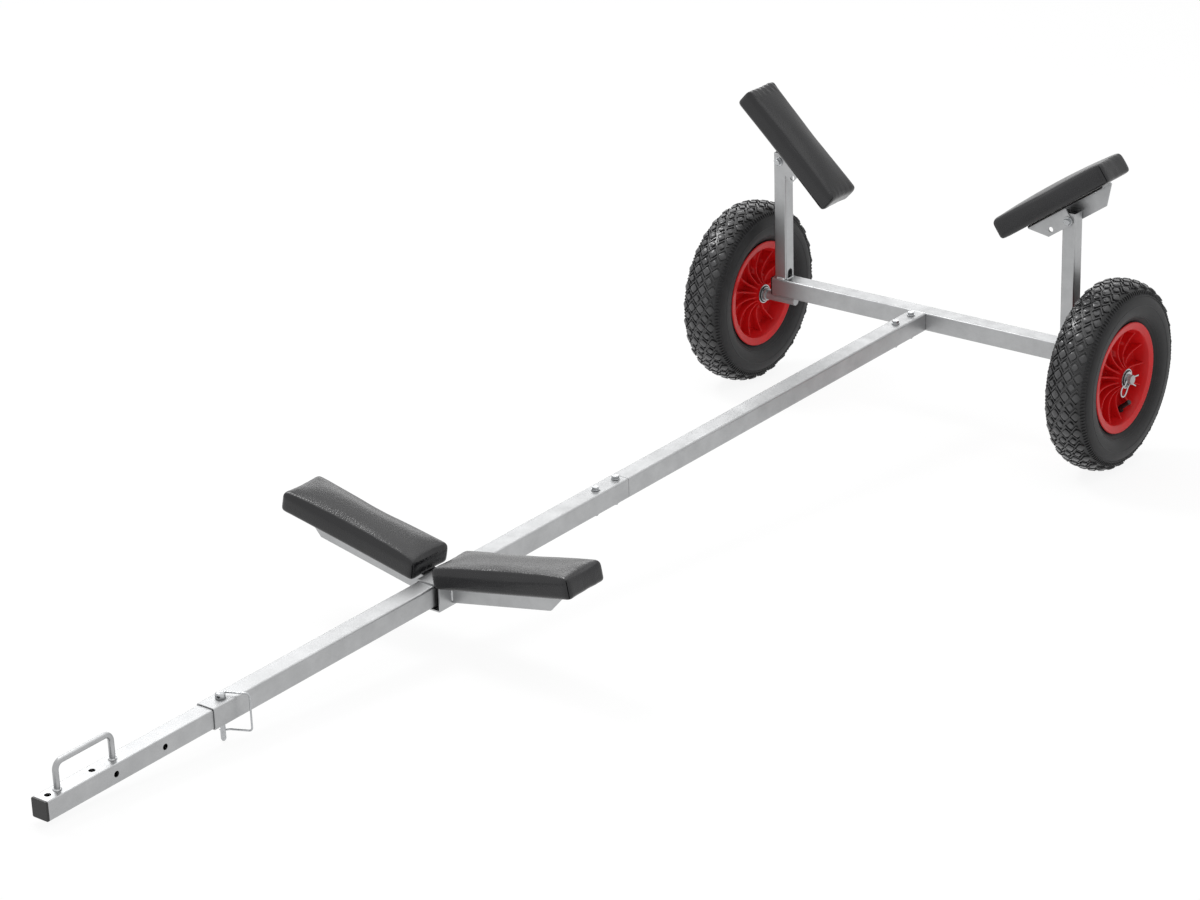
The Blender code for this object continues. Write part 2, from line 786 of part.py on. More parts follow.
def build_inner_tube(name, hub):
    """Inner tube with its bent valve stem through the rim."""
    slices = TYRE_SLICES // 2
    low = (RIM_WELL_DIAMETER / 2 + TUBE_FIT) / math.cos(math.pi / slices)
    casing = tyre_inner_profile()
    points = (
        (low, RIM_WIDTH / 2 - RIM_WELL_SIDE - 3 * TUBE_FIT),
        (casing[0][0], casing[0][1] - 8 * TUBE_FIT),
        (casing[1][0] - TUBE_FIT, casing[1][1] - 5 * TUBE_FIT),
        (casing[2][0] - TUBE_FIT, casing[2][1] - TUBE_FIT / 2),
    )
    tube = place(name, turned(half_profile(points), slices), black_rubber(), parent=hub)
    radius = RIM_WELL_DIAMETER / 2
    outboard = hub["side"]
    corner = Vector((radius - STEM_BEND_PLACE, 0, outboard * VALVE_OFFSET))
    leave = Vector((-math.cos(STEM_BEND), 0, outboard * math.sin(STEM_BEND)))
    route = [(radius + STEM_ROOT, 0, outboard * VALVE_OFFSET)]
    route += bend_points(corner, (-1, 0, 0), leave, STEM_BEND_RADIUS, 3)
    route.append(corner + leave * STEM_REACH)
    stem = wire(
        f"{name}_stem",
        route,
        STEM_DIAMETER,
        black_rubber(),
        rotation=(0, 0, VALVE_ANGLE),
        parent=hub,
    )
    combine(tube, stem, "UNION")
    return tube


def build_bushes(word, hub):
    bore = AXLE_DIAMETER / 2 + RUNNING_GAP
    outer = BUSH_DIAMETER / 2
    lip = HUB_DIAMETER / 2 - BUSH_LIP_INSET
    edge = HUB_LENGTH / 2 + SEAT_GAP
    profile = (
        (bore, edge - BUSH_LENGTH),
        (outer, edge - BUSH_LENGTH),
        (outer, edge),
        (lip, edge),
        (lip, edge + BUSH_COLLAR - SEAT_GAP),
        (bore, edge + BUSH_COLLAR - SEAT_GAP),
    )
    for which, face in (("outer", 1), ("inner", -1)):
        turn = (0, 0, 0) if face * hub["side"] > 0 else (math.pi, 0, 0)
        place(f"hub_bush_{which}_{word}", turned(profile, 14), black_plastic(), rotation=turn, parent=hub)


def build_wheel(side, word):
    """Everything that turns with one wheel, round an empty whose Z is the axle and faces +X."""
    hub = empty(
        f"wheel_axis_{word}", (side * WHEEL_OFFSET, 0, AXLE_HEIGHT), ALONG_X, bpy.data.objects[LEVEL]
    )
    hub["side"] = side
    build_rim(f"rim_{word}", hub)
    build_tyre(f"tyre_{word}", hub)
    build_inner_tube(f"inner_tube_{word}", hub)
    build_bushes(word, hub)


def drilled(bar, name, places, diameter, length, across=(0, 0, 0)):
    for number, along in enumerate(places, 1):
        drill = cutter_rod(f"{name}_drill_{number}", diameter, length, (0, -along, 0), across)
        combine(bar, drill, "DIFFERENCE")


def build_drawbar():
    middle_start = REAR_BAR_END + BAR_BUTT_GAP
    rear = place(
        "drawbar_rear",
        square_tube(BAR_SIDE, BAR_WALL, BAR_CORNER, REAR_BAR_END - REAR_BAR_START, REAR_BAR_START),
        galvanised(),
        rotation=ALONG_FORWARD,
    )
    middle = place(
        "drawbar_middle",
        square_tube(BAR_SIDE, BAR_WALL, BAR_CORNER, MIDDLE_BAR_END - middle_start, middle_start),
        galvanised(),
        rotation=ALONG_FORWARD,
    )
    front = place(
        "drawbar_front",
        square_tube(
            INNER_SIDE, INNER_WALL, INNER_CORNER, FRONT_BAR_END - FRONT_BAR_START, FRONT_BAR_START
        ),
        galvanised(),
        rotation=ALONG_FORWARD,
    )
    spigot_start = BEAM_SIDE / 2 + SEAT_GAP
    spigot = place(
        "drawbar_spigot",
        square_tube(INNER_SIDE, INNER_WALL, INNER_CORNER, SPIGOT_LENGTH, spigot_start),
        galvanised(),
        rotation=ALONG_FORWARD,
    )
    sleeve = place(
        "drawbar_joint_sleeve",
        square_tube(
            INNER_SIDE, INNER_WALL, INNER_CORNER, JOINT_SLEEVE_END - JOINT_SLEEVE_START, JOINT_SLEEVE_START
        ),
        galvanised(),
        rotation=ALONG_FORWARD,
    )
    through = BAR_SIDE * 1.5
    rear_bolts, joint_bolts = BOLT_PLACES[:2], BOLT_PLACES[2:]
    drilled(rear, "rear_bar", rear_bolts, BOLT_HOLE, through)
    drilled(spigot, "spigot", rear_bolts, BOLT_HOLE, through)
    drilled(middle, "middle_bar", joint_bolts, BOLT_HOLE, through)
    drilled(sleeve, "joint_sleeve", joint_bolts, BOLT_HOLE, through)
    drilled(middle, "middle_pin", (PIN_PLACE,), PIN_HOLE, through)
    drilled(front, "front_pin", (PIN_PLACE,), PIN_HOLE, through)
    for number, along in enumerate(TOP_HOLE_PLACES, 1):
        place_above = (0, -along, INNER_SIDE / 2)
        drill = cutter_rod(f"top_drill_{number}", TOP_HOLE, INNER_SIDE / 2, place_above, steps=12)
        combine(front, drill, "DIFFERENCE")
    for number, along in enumerate(SIDE_HOLE_PLACES, 1):
        beside = (INNER_SIDE / 2, -along, 0)
        drill = cutter_rod(f"side_drill_{number}", SIDE_HOLE, INNER_SIDE / 2, beside, ALONG_X, steps=12)
        combine(front, drill, "DIFFERENCE")


def build_nose_cap():
    inside = INNER_SIDE - 2 * INNER_WALL - 2 * SEAT_GAP
    at = (0, -FRONT_BAR_END - SEAT_GAP, 0)
    flange = NOSE_CAP_FLANGE - SEAT_GAP
    cap = place(
        "front_end_cap",
        prism(rounded_rectangle(INNER_SIDE, INNER_SIDE, INNER_CORNER), flange),
        black_plastic(),
        at,
        ALONG_FORWARD,
    )
    outline = rounded_rectangle(inside, inside, INNER_CORNER / 2)
    plug = prism(outline, NOSE_CAP_PLUG + NOSE_CAP_FLANGE / 2, -NOSE_CAP_PLUG)
    combine(cap, place("front_cap_plug", plug, black_plastic(), at, ALONG_FORWARD), "UNION")


def round_section(diameter):
    """Twelve points of a circle, in step with those of a hexagon."""
    return circle(diameter, BOLT_SIDES)


def hex_section(flats):
    """Twelve points of a hexagon: its corners and the middles of its flats."""
    points = []
    for index, point in enumerate(circle(flats, BOLT_SIDES)):
        points.append(point / math.cos(math.pi / 6) if index % 2 else point)
    return points


def stacked(sections, closed):
    """Skin over (outline, height) sections of equal count: a ring if closed, else capped at both ends."""
    bm = bmesh.new()
    loops = [flat_ring(bm, outline, height) for outline, height in sections]
    pairs = list(zip(loops, loops[1:]))
    if closed:
        pairs.append((loops[-1], loops[0]))
    else:
        bm.faces.new(loops[0])
        bm.faces.new(loops[-1])
    for one, two in pairs:
        for index in range(len(one)):
            after = (index + 1) % len(one)
            bm.faces.new((one[index], one[after], two[after], two[index]))
    return bm


def build_through_bolt(name, nut_name, grip, location, rotation, parent=None):
    """Hex bolt along its own Z with its head up, a washer under the head, and its nut below."""
    seat = grip / 2 + SEAT_GAP
    head = seat + BOLT_WASHER_THICKNESS
    tail = head + NUT_HEIGHT + BOLT_TAIL
    shank = round_section(BOLT_DIAMETER)
    washer = round_section(BOLT_WASHER_DIAMETER)
    hexagon = hex_section(HEX_FLATS)
    bolt_sections = (
        (hexagon, head + BOLT_HEAD_HEIGHT),
        (hexagon, head),
        (washer, head),
        (washer, seat),
        (shank, seat),
        (shank, -tail),
    )
    place(name, stacked(bolt_sections, False), bright_zinc(), location, rotation, parent)
    bore = round_section(BOLT_DIAMETER + 2 * SEAT_GAP)
    nut_sections = (
        (washer, -seat),
        (washer, -head),
        (hexagon, -head),
        (hexagon, -head - NUT_HEIGHT),
        (bore, -head - NUT_HEIGHT),
        (bore, -seat),
    )
    place(nut_name, stacked(nut_sections, True), bright_zinc(), location, rotation, parent)


def build_drawbar_bolts():
    for number, along in enumerate(BOLT_PLACES, 1):
        build_through_bolt(
            f"drawbar_bolt_{number}", f"drawbar_nut_{number}", BAR_SIDE, (0, -along, 0), (0, 0, 0)
        )


def build_lock_pin():
    """Drop pin through both tubes, and the wire bow that hooks round its tip from the side."""
    axis = empty("lock_pin_axis", (0, -PIN_PLACE, 0), (0, 0, BOW_ANGLE), bpy.data.objects[LEVEL])
    seat = BAR_SIDE / 2 + SEAT_GAP
    top = seat + PIN_HEAD_HEIGHT
    tip = -BAR_SIDE / 2 - PIN_REACH_BELOW
    radius = PIN_DIAMETER / 2
    head = PIN_HEAD_DIAMETER / 2
    profile = (
        (0, top),
        (head - PIN_HEAD_CHAMFER, top),
        (head, top - PIN_HEAD_CHAMFER),
        (head, seat),
        (radius, seat),
        (radius, tip + PIN_TIP_CHAMFER),
        (PIN_TIP_DIAMETER / 2, tip),
        (0, tip),
    )
    pin = place("lock_pin", turned(profile, 12, closed=False), bright_zinc(), parent=axis)
    hinge = seat + PIN_HEAD_HEIGHT * 0.5
    cross = cutter_rod(
        "pin_cross_drill",
        BOW_WIRE + 2 * RUNNING_GAP,
        PIN_HEAD_DIAMETER * 1.5,
        (0, 0, hinge),
        ALONG_FORWARD,
        axis,
    )
    combine(pin, cross, "DIFFERENCE")
    swing = empty("lock_pin_bow_axis", (0, 0, hinge), (0, 0, 0), axis)
    ear = head + BOW_WIRE / 2 + RUNNING_GAP
    bend = BOW_WIRE * 1.6
    low = -BOW_DROP
    side = radius + BOW_WIRE / 2 + RUNNING_GAP
    route = [(0, -head * 0.75, 0)]
    route += bend_points((0, ear, 0), (0, 1, 0), (1, 0, 0), BOW_WIRE * 0.9, 3)
    route += bend_points((BOW_REACH, ear, 0), (1, 0, 0), (0, 0, -1), bend, 3)
    route += bend_points((BOW_REACH, ear, low), (0, 0, -1), (-1, 0, 0), bend, 3)
    route += bend_points((radius + BOW_WIRE * 1.2, ear, low), (-1, 0, 0), (-1, side - ear, 0), bend, 2)
    route.append((-BOW_HOOK * 0.3, side, low))
    route.append((-BOW_HOOK, side + 0.0012, low))
    wire("lock_pin_bow", route, BOW_WIRE, bright_zinc(), parent=swing, sides=6)


def build_handle():
    """Round bar bent to a bridge, its legs set on the front tube."""
    foot = INNER_SIDE / 2 + SEAT_GAP
    top = foot + HANDLE_HEIGHT - HANDLE_WIRE / 2
    rear, front = -HANDLE_REAR_LEG, -HANDLE_FRONT_LEG
    route = [(0, rear, foot)]
    route += bend_points((0, rear, top), (0, 0, 1), (0, -1, 0), HANDLE_BEND)
    route += bend_points((0, front, top), (0, -1, 0), (0, 0, -1), HANDLE_BEND)
    route.append((0, front, foot))
    wire("tow_handle", route, HANDLE_WIRE, galvanised(), sides=10)


def cushion_ring(length, width, shrink):
    """Plan outline of the cushion inset by shrink, with the same number of points at any inset."""
    corner = max(PAD_EDGE_RADIUS - shrink, 0.003)
    corners = rounded_rectangle(length - 2 * shrink, width - 2 * shrink, corner)
    extras = {2: PAD_LONG_COUNT, 5: PAD_SHORT_COUNT, 8: PAD_LONG_COUNT, 11: PAD_SHORT_COUNT}
    points = []
    for index, point in enumerate(corners):
        after = corners[(index + 1) % len(corners)]
        extra = extras.get(index, 0)
        points.append(point)
        points += [point.lerp(after, step / (extra + 1)) for step in range(1, extra + 1)]
    return points


def cushion_loop(bm, size, shrink, height, draw, crown):
    """One closed loop of the cushion's skin, its sides drawn in and its top crowned."""
    length, width = size[:2]
    loop = []
    for point in cushion_ring(length, width, shrink):
        u = point.x / (length / 2)
        v = point.y / (width / 2)
        pull_x = draw * math.cos(math.pi / 2 * min(1, abs(v))) * abs(u) ** 6
        pull_y = draw * math.cos(math.pi / 2 * min(1, abs(u))) * abs(v) ** 6
        x = point.x - math.copysign(pull_x, point.x)
        y = point.y - math.copysign(pull_y, point.y)
        loop.append(bm.verts.new((x, y, height + crown * (1 - u * u) * (1 - v * v))))
    return loop


def cushion(size):
    """Crowned cushion with rounded upper edges, standing on z = 0, hollowed below for its board."""
    length, width, thickness = size
    bm = bmesh.new()
    radius = PAD_EDGE_RADIUS
    top = thickness - PAD_CROWN
    shoulder = top - radius
    loops = [cushion_loop(bm, size, PAD_HEM_INSET, 0.0, PAD_DRAW_IN, 0.0)]
    for height in (PAD_HEM_HEIGHT, shoulder):
        loops.append(cushion_loop(bm, size, 0.0, height, PAD_DRAW_IN, 0.0))
    for step in (1, 2, 3):
        angle = math.pi / 2 * step / 3
        shrink = radius * (1 - math.cos(angle))
        height = shoulder + radius * math.sin(angle)
        crown = PAD_CROWN if step == 3 else 0.0
        loops.append(cushion_loop(bm, size, shrink, height, PAD_DRAW_IN * (1 - step / 3), crown))
    for share in (0.60, 0.92):
        loops.append(cushion_loop(bm, size, width / 2 * share, top, 0.0, PAD_CROWN))
    for one, two in zip(loops, loops[1:]):
        for index in range(len(one)):
            after = (index + 1) % len(one)
            bm.faces.new((one[index], one[after], two[after], two[index]))
    bm.faces.new(loops[-1])
    board_length, board_width = board_size(size)
    hollow = rounded_rectangle(board_length + 2 * SEAT_GAP, board_width + 2 * SEAT_GAP, BOARD_CORNER)
    low = flat_ring(bm, hollow, 0.0)
    high = flat_ring(bm, hollow, BOARD_THICKNESS + SEAT_GAP)
    rim = [bm.edges.get(pair) for pair in zip(loops[0], loops[0][1:] + loops[0][:1])]
    rim += [bm.edges.new(pair) for pair in zip(low, low[1:] + low[:1])]
    bmesh.ops.triangle_fill(bm, use_beauty=True, edges=rim)
    for index in range(len(low)):
        after = (index + 1) % len(low)
        bm.faces.new((low[index], low[after], high[after], high[index]))
    bm.faces.new(high)
    return bm


def board_size(size):
    """Length and width of the board in a cushion's recess."""
    return size[0] - 2 * BOARD_END_MARGIN, size[1] - 2 * BOARD_MARGIN


def build_pad_and_board(word, frame, size, middle, screw_places, screw_side):
    """A cushion centred on middle in its frame, its board in the recess below; screws hang from it."""
    pad = place(f"pad_{word}", cushion(size), black_vinyl(), middle, parent=frame, smooth=50.0)
    outline = rounded_rectangle(*board_size(size), BOARD_CORNER)
    board = place(f"board_{word}", prism(outline, BOARD_THICKNESS), black_board(), middle, parent=frame)
    for number, (along, across) in enumerate(screw_places, 1):
        reach = screw_side + SCREW_HEAD_HEIGHT
        profile = (
            (0, BOARD_THICKNESS / 3),
            (SCREW_DIAMETER / 2, BOARD_THICKNESS / 3),
            (SCREW_DIAMETER / 2, -screw_side),
            (SCREW_HEAD_DIAMETER / 2, -screw_side),
            (SCREW_HEAD_DIAMETER * 0.36, -reach),
            (0, -reach),
        )
        screw = place(
            f"board_screw_{word}_{number}",
            turned(profile, 8, closed=False),
            bright_zinc(),
            (along, across, middle[2]),
            parent=frame,
        )
        combine(board, screw, "UNION")
    return pad


def channel_outline():
    """Section of the folded bracket: open below, flanges outside the post, web under the board."""
    inner = POST_SIDE / 2 + SEAT_GAP
    outer = inner + BRACKET_WALL
    top = 0.0
    bend = BRACKET_BEND
    nip = BRACKET_BEND * BRACKET_BEND_SHARE
    low = -BRACKET_DEPTH
    return (
        (outer, low),
        (outer, top - bend),
        (outer - nip, top - nip),
        (outer - bend, top),
        (-outer + bend, top),
        (-outer + nip, top - nip),
        (-outer, top - bend),
        (-outer, low),
        (-inner, low),
        (-inner, top - BRACKET_WALL),
        (inner, top - BRACKET_WALL),
        (inner, low),
    )


def build_bracket(side, word, frame):
    """Folded channel, its web's top under the board and each flange kept on one side of the post."""
    top = PIVOT_TO_BOARD - SEAT_GAP
    low = top - BRACKET_DEPTH
    inner_end = -side * BRACKET_INNER_REACH
    outer_end = side * BRACKET_OUTER_REACH
    outline = [(y, top + z) for y, z in channel_outline()]
    bm = extruded(outline, (inner_end, outer_end), along_x)
    bracket = place(f"rest_bracket_{word}", bm, galvanised(), parent=frame)
    through = POST_SIDE * 2
    past = TOOL_PAST
    shoulder = top - BRACKET_SHOULDER
    for end, reach, inward in (("inner", inner_end, side), ("outer", outer_end, -side)):
        wedge = (
            (reach - inward * past, low - past),
            (reach + inward * (BRACKET_CHAMFER + past), low - past),
            (reach + inward * BRACKET_CHAMFER, low),
            (reach, shoulder),
            (reach - inward * past, shoulder),
        )
        trim = extruded(wedge, (-through / 2, through / 2), along_y)
        name = f"bracket_{end}_trim_{word}"
        combine(bracket, place(name, trim, galvanised(), parent=frame), "DIFFERENCE")
    below_web = top - BRACKET_TRIM_DEPTH
    for flange, away, reach in (("front", side, outer_end), ("rear", -side, inner_end)):
        start = away * BRACKET_FLANGE_OVERLAP
        end = reach + away * past
        corner = ((start, low - past), (end, low - past), (end, below_web), (start, below_web))
        facing = -1 if flange == "front" else 1
        sides = (facing * POST_SIDE, facing * (POST_SIDE / 2 - SEAT_GAP))
        cutter = extruded(corner, sides, along_y)
        trim = place(f"bracket_{flange}_trim_{word}", cutter, galvanised(), parent=frame)
        combine(bracket, trim, "DIFFERENCE")
    pivot = cutter_rod(f"bracket_pivot_drill_{word}", BOLT_HOLE, through, (0, 0, 0), ALONG_FORWARD, frame)
    combine(bracket, pivot, "DIFFERENCE")
    free_at = (-side * BRACKET_FREE_HOLE_PLACE, 0, PIVOT_TO_BOARD - BRACKET_FREE_HOLE_DEPTH)
    free = cutter_rod(f"bracket_free_drill_{word}", BOLT_HOLE, through, free_at, ALONG_FORWARD, frame)
    combine(bracket, free, "DIFFERENCE")
    for number, along in enumerate(BRACKET_SCREW_PLACES, 1):
        name = f"bracket_screw_drill_{word}_{number}"
        hole = cutter_rod(name, SCREW_HOLE, BRACKET_WALL * 4, (side * along, 0, top), parent=frame)
        combine(bracket, hole, "DIFFERENCE")


def build_rear_rest(side, word, tilt):
    frame = empty(
        f"rest_axis_{word}",
        (side * POST_SPACING / 2, 0, PIVOT_HEIGHT),
        (0, -side * tilt, 0),
        bpy.data.objects[LEVEL],
    )
    build_bracket(side, word, frame)
    screws = [(side * along, 0) for along in BRACKET_SCREW_PLACES]
    middle = (0, 0, PIVOT_TO_BOARD)
    build_pad_and_board(f"rear_{word}", frame, REAR_PAD, middle, screws, BRACKET_WALL + 2 * SEAT_GAP)
    grip = POST_SIDE + 2 * SEAT_GAP + 2 * BRACKET_WALL
    build_through_bolt(
        f"rest_pivot_bolt_{word}",
        f"rest_pivot_nut_{word}",
        grip,
        (side * POST_SPACING / 2, 0, PIVOT_HEIGHT),
        ALONG_FORWARD,
    )


def sleeve_offset():
    """The sleeve hangs with its top and left walls against the bar: how far its centre is off the bar's."""
    return (SLEEVE_SIDE / 2 - SLEEVE_WALL) - BAR_SIDE / 2 - SEAT_GAP


def carriage_rest_frame(side, word, carriage):
    """Empty over the bar's centre line in the plane of a front cushion's underside, X up the slope."""
    at = (-sleeve_offset(), 0, FRONT_REST_PLANE + sleeve_offset())
    return empty(f"front_rest_frame_{word}", at, (0, -side * FRONT_REST_SLOPE, 0), carriage)


def sleeve_cutter(name, carriage, gap):
    """Block that clears the sleeve's outside by a gap on every side."""
    opening = SLEEVE_SIDE + 2 * gap
    length = SLEEVE_LENGTH + 2 * gap
    block = prism(rounded_rectangle(opening, opening, SLEEVE_CORNER), length, -length / 2)
    return place(name, block, galvanised(), (0, 0, 0), ALONG_FORWARD, carriage)


def extruded(outline, ends, place_point):
    """Solid between two copies of an outline; place_point turns (end, outline point) into a position."""
    bm = bmesh.new()
    sheets = [[bm.verts.new(place_point(end, point)) for point in outline] for end in ends]
    for index in range(len(outline)):
        after = (index + 1) % len(outline)
        bm.faces.new((sheets[0][index], sheets[0][after], sheets[1][after], sheets[1][index]))
    bm.faces.new(sheets[0])
    bm.faces.new(sheets[1])
    return bm


def along_x(end, point):
    return (end, point[0], point[1])


def along_y(end, point):
    return (point[0], end, point[1])


def build_arm(side, word, frame, carriage):
    """Angle bar under a front cushion, its upright leg in front, set against the sleeve's side."""
    start = 0.0
    reach = ARM_REACH_LEFT if side < 0 else ARM_REACH_RIGHT
    top = -SEAT_GAP
    low = top - ARM_SIDE
    front = -ARM_FRONT
    section = (
        (front, top),
        (front, low),
        (front + ARM_WALL, low),
        (front + ARM_WALL, top - ARM_WALL),
        (front + ARM_SIDE, top - ARM_WALL),
        (front + ARM_SIDE, top),
    )
    bm = extruded(section, (side * start, side * reach), along_x)
    arm = place(f"carriage_arm_{word}", bm, galvanised(), parent=frame)
    past = TOOL_PAST
    wedge = (
        (side * (reach + past), low - past),
        (side * (reach + past), low + ARM_CHAMFER_RISE),
        (side * reach, low + ARM_CHAMFER_RISE),
        (side * (reach - ARM_CHAMFER), low),
        (side * (reach - ARM_CHAMFER), low - past),
    )
    trim = extruded(wedge, (-ARM_SIDE * 2, ARM_SIDE * 2), along_y)
    combine(arm, place(f"arm_trim_{word}", trim, galvanised(), parent=frame), "DIFFERENCE")
    combine(arm, sleeve_cutter(f"arm_sleeve_cut_{word}", carriage, SEAT_GAP), "DIFFERENCE")
    return arm


def build_carriage():
    offset = sleeve_offset()
    carriage = empty(
        "carriage_frame", (offset, -CARRIAGE_PLACE, -offset), (0, 0, 0), bpy.data.objects[LEVEL]
    )
    place(
        "carriage_sleeve",
        square_tube(SLEEVE_SIDE, SLEEVE_WALL, SLEEVE_CORNER, SLEEVE_LENGTH, -SLEEVE_LENGTH / 2),
        galvanised(),
        rotation=ALONG_FORWARD,
        parent=carriage,
    )
    across = ARM_SIDE / 2 - ARM_FRONT
    starts = {"left": FRONT_REST_START_LEFT, "right": FRONT_REST_START_RIGHT}
    for side, word in ((-1, "left"), (1, "right")):
        frame = carriage_rest_frame(side, word, carriage)
        arm = build_arm(side, word, frame, carriage)
        screws = [(side * along, across) for along in ARM_SCREW_PLACES]
        middle = (side * (starts[word] + FRONT_REST_LENGTH / 2), 0, 0)
        pad = build_pad_and_board(f"front_{word}", frame, FRONT_PAD, middle, screws, ARM_WALL + 2 * SEAT_GAP)
        notch = sleeve_cutter(f"pad_sleeve_notch_{word}", carriage, SEAT_GAP)
        combine(pad, notch, "DIFFERENCE")
        for number, (along, aside) in enumerate(screws, 1):
            name = f"arm_screw_drill_{word}_{number}"
            drill = cutter_rod(name, SCREW_HOLE, ARM_WALL * 3, (along, aside, 0), parent=frame)
            combine(arm, drill, "DIFFERENCE")


def main():
    clear_scene()
    level = empty(LEVEL, rotation=(resting_tilt(), 0, 0))
    level.location = (0, rearward_shift(), standing_height())
    build_beam()
    for side, word, tilt in ((-1, "left", REST_TILT_LEFT), (1, "right", REST_TILT_RIGHT)):
        build_post(side, word)
        build_axle(side, word)
        build_washers(side, word)
        build_clip(side, word)
        build_wheel(side, word)
        build_rear_rest(side, word, tilt)
    build_drawbar()
    build_nose_cap()
    build_drawbar_bolts()
    build_lock_pin()
    build_handle()
    build_carriage()


main()
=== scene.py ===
"""Dresses the inflatable boat trolley: finer metalwork, treaded tyres, ribbed rims and vinyl cushions."""
import json
import math

import bmesh
import bpy
from mathutils import Matrix, Vector, noise


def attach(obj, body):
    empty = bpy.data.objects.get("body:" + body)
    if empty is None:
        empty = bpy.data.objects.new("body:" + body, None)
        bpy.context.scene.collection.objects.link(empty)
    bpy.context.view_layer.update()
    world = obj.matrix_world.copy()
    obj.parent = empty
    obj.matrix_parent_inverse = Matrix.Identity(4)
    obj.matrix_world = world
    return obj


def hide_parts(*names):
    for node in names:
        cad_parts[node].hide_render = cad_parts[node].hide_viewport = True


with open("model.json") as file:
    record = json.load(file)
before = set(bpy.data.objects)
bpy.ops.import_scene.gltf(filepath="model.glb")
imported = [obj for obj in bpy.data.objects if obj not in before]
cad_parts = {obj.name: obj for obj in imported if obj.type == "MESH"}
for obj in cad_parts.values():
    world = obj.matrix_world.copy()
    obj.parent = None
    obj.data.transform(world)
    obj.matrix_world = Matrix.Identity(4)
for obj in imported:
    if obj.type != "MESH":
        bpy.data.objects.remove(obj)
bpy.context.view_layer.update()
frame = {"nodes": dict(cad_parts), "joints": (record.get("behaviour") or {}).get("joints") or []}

bl_info = {
    "name": "Inflatable boat trolley",
    "version": (1, 0, 0),
    "blender": (4, 5, 0),
    "location": "3D View > Sidebar > Boat trolley",
    "description": "Builds the trolley's detailed pieces around its frame model, and a plain studio",
    "category": "Object",
}

MM = 0.001

# Fits shared with the frame model
SEAT_GAP = 0.0003
RUNNING_GAP = 0.0006

# Cross beam and posts
BEAM_SIDE = 0.040
BEAM_WALL = 0.002
BEAM_CORNER = 0.004
BEAM_LENGTH = 0.745
POST_SIDE = 0.030
POST_WALL = 0.002
POST_CORNER = 0.003
POST_SPACING = 0.7066
POST_HEIGHT = 0.283
POST_VENT = (0.0165, 0.0215)
CAP_FLANGE = 0.003
CAP_PLUG = 0.018

# Axles and wheels
AXLE_DIAMETER = 0.020
AXLE_INNER_END = 0.323
AXLE_OVERHANG = 0.0105
AXLE_COLLAR = (0.027, 0.006)
AXLE_HEIGHT = -(BEAM_SIDE / 2 + SEAT_GAP + AXLE_DIAMETER / 2)
WHEEL_TRACK = 0.895
HUB_LENGTH = 0.080
HUB_DIAMETER = 0.040
BUSH_DIAMETER = 0.027
BUSH_LENGTH = 0.022
BUSH_COLLAR = 0.0015
WASHER_DIAMETER = 0.031
WASHER_THICKNESS = 0.0025
CLIP_HOLE = 0.0045
CLIP_EYE = (22 * MM, 19 * MM)
CLIP_EYE_RADIUS = 11.5 * MM
RIM_DIAMETER = 0.232
RIM_WIDTH = 0.076
RIM_RING = 0.016
RIM_SEAT = 0.207
RIM_WELL = 0.196
RIB_COUNT = 13
RIB_THICKNESS = 0.003
RIB_DIP = 0.017
VALVE_ANGLE = math.radians(20.0)
VALVE_OFFSET = 0.0115
CROWN_RADIUS = 0.1947
TREAD_ROOT = 1.2 * MM
TREAD_ROW = 10.7 * MM
TREAD_SWAY = 6.5 * MM
SMALL_DIAMOND = (8.5 * MM, 7.5 * MM)
LARGE_DIAMOND = (11.0 * MM, 9.6 * MM)
TREAD_RIB_HALF = 1.7 * MM

# Drawbar, measured forward from the cross beam's centre
BAR_SIDE = 0.040
INNER_SIDE = 0.035
INNER_WALL = 0.0025
REAR_BAR = (0.0205, 1.0527)
MIDDLE_BAR = (1.0535, 2.180)
FRONT_BAR = (1.560, 2.553)
NOSE_CAP = 0.0037
BOLT_DIAMETER = 0.008
BOLT_HOLE = 0.009
HEX_FLATS = 0.013
BOLT_HEAD = 0.0053
NUT_HEIGHT = 0.0065
BOLT_WASHER = (0.017, 0.0016)
PIVOT_WASHER = 0.0205
BOLT_TAIL = 0.004
REAR_BOLTS = (0.0465, 0.105)
JOINT_BOLTS = (1.068, 1.129)
PIN_PLACE = 2.144
PIN_DIAMETER = 0.0095
PIN_TIP = 0.005
PIN_HOLE = 0.011
PIN_HEAD = (0.018, 0.010)
PIN_REACH = 0.0395
BOW_REACH = 0.047
BOW_DROP = 0.069
BOW_HOOK = 0.009
BOW_ANGLE = math.radians(25.0)
HANDLE_LEGS = (2.394, 2.516)
HANDLE_HEIGHT = 0.0525
HANDLE_BEND = 0.014
TOP_HOLES = (2.440, 2.537)
TOP_HOLE = 0.0115
SIDE_HOLES = (2.2937, 2.4045)
SIDE_HOLE = 0.011

# Rests and carriage
REAR_PAD = (0.300, 0.097, 0.047)
FRONT_PAD = (0.318, 0.104, 0.043)
PAD_EDGE = 12 * MM
PAD_FOOT = 6 * MM
PAD_WAIST = 2.5 * MM
PAD_CROWN = 1.5 * MM
COVER_SLACK = (1 * MM, 1 * MM, 2 * MM)
SEAM_DEPTH = 1.3 * MM
FILL_FRAMES = 20
EVENING_PASSES = 16
BOARD_THICKNESS = 0.012
BOARD_MARGINS = (0.018, 0.007)
PIVOT_HEIGHT = 0.286
PIVOT_TO_BOARD = 0.030
REST_TILT = {-1: math.radians(43.3), 1: math.radians(34.5)}
BRACKET_WALL = 0.003
BRACKET_DEPTH = 0.039
BRACKET_INNER_REACH = 0.094
BRACKET_OUTER_REACH = 0.111
BRACKET_FLANGE_OVERLAP = 0.009
BRACKET_SHORT_REACH = 0.053
BRACKET_CHAMFER = 0.035
BRACKET_SHOULDER = 4.8 * MM
BRACKET_TRIM_DEPTH = 3.6 * MM
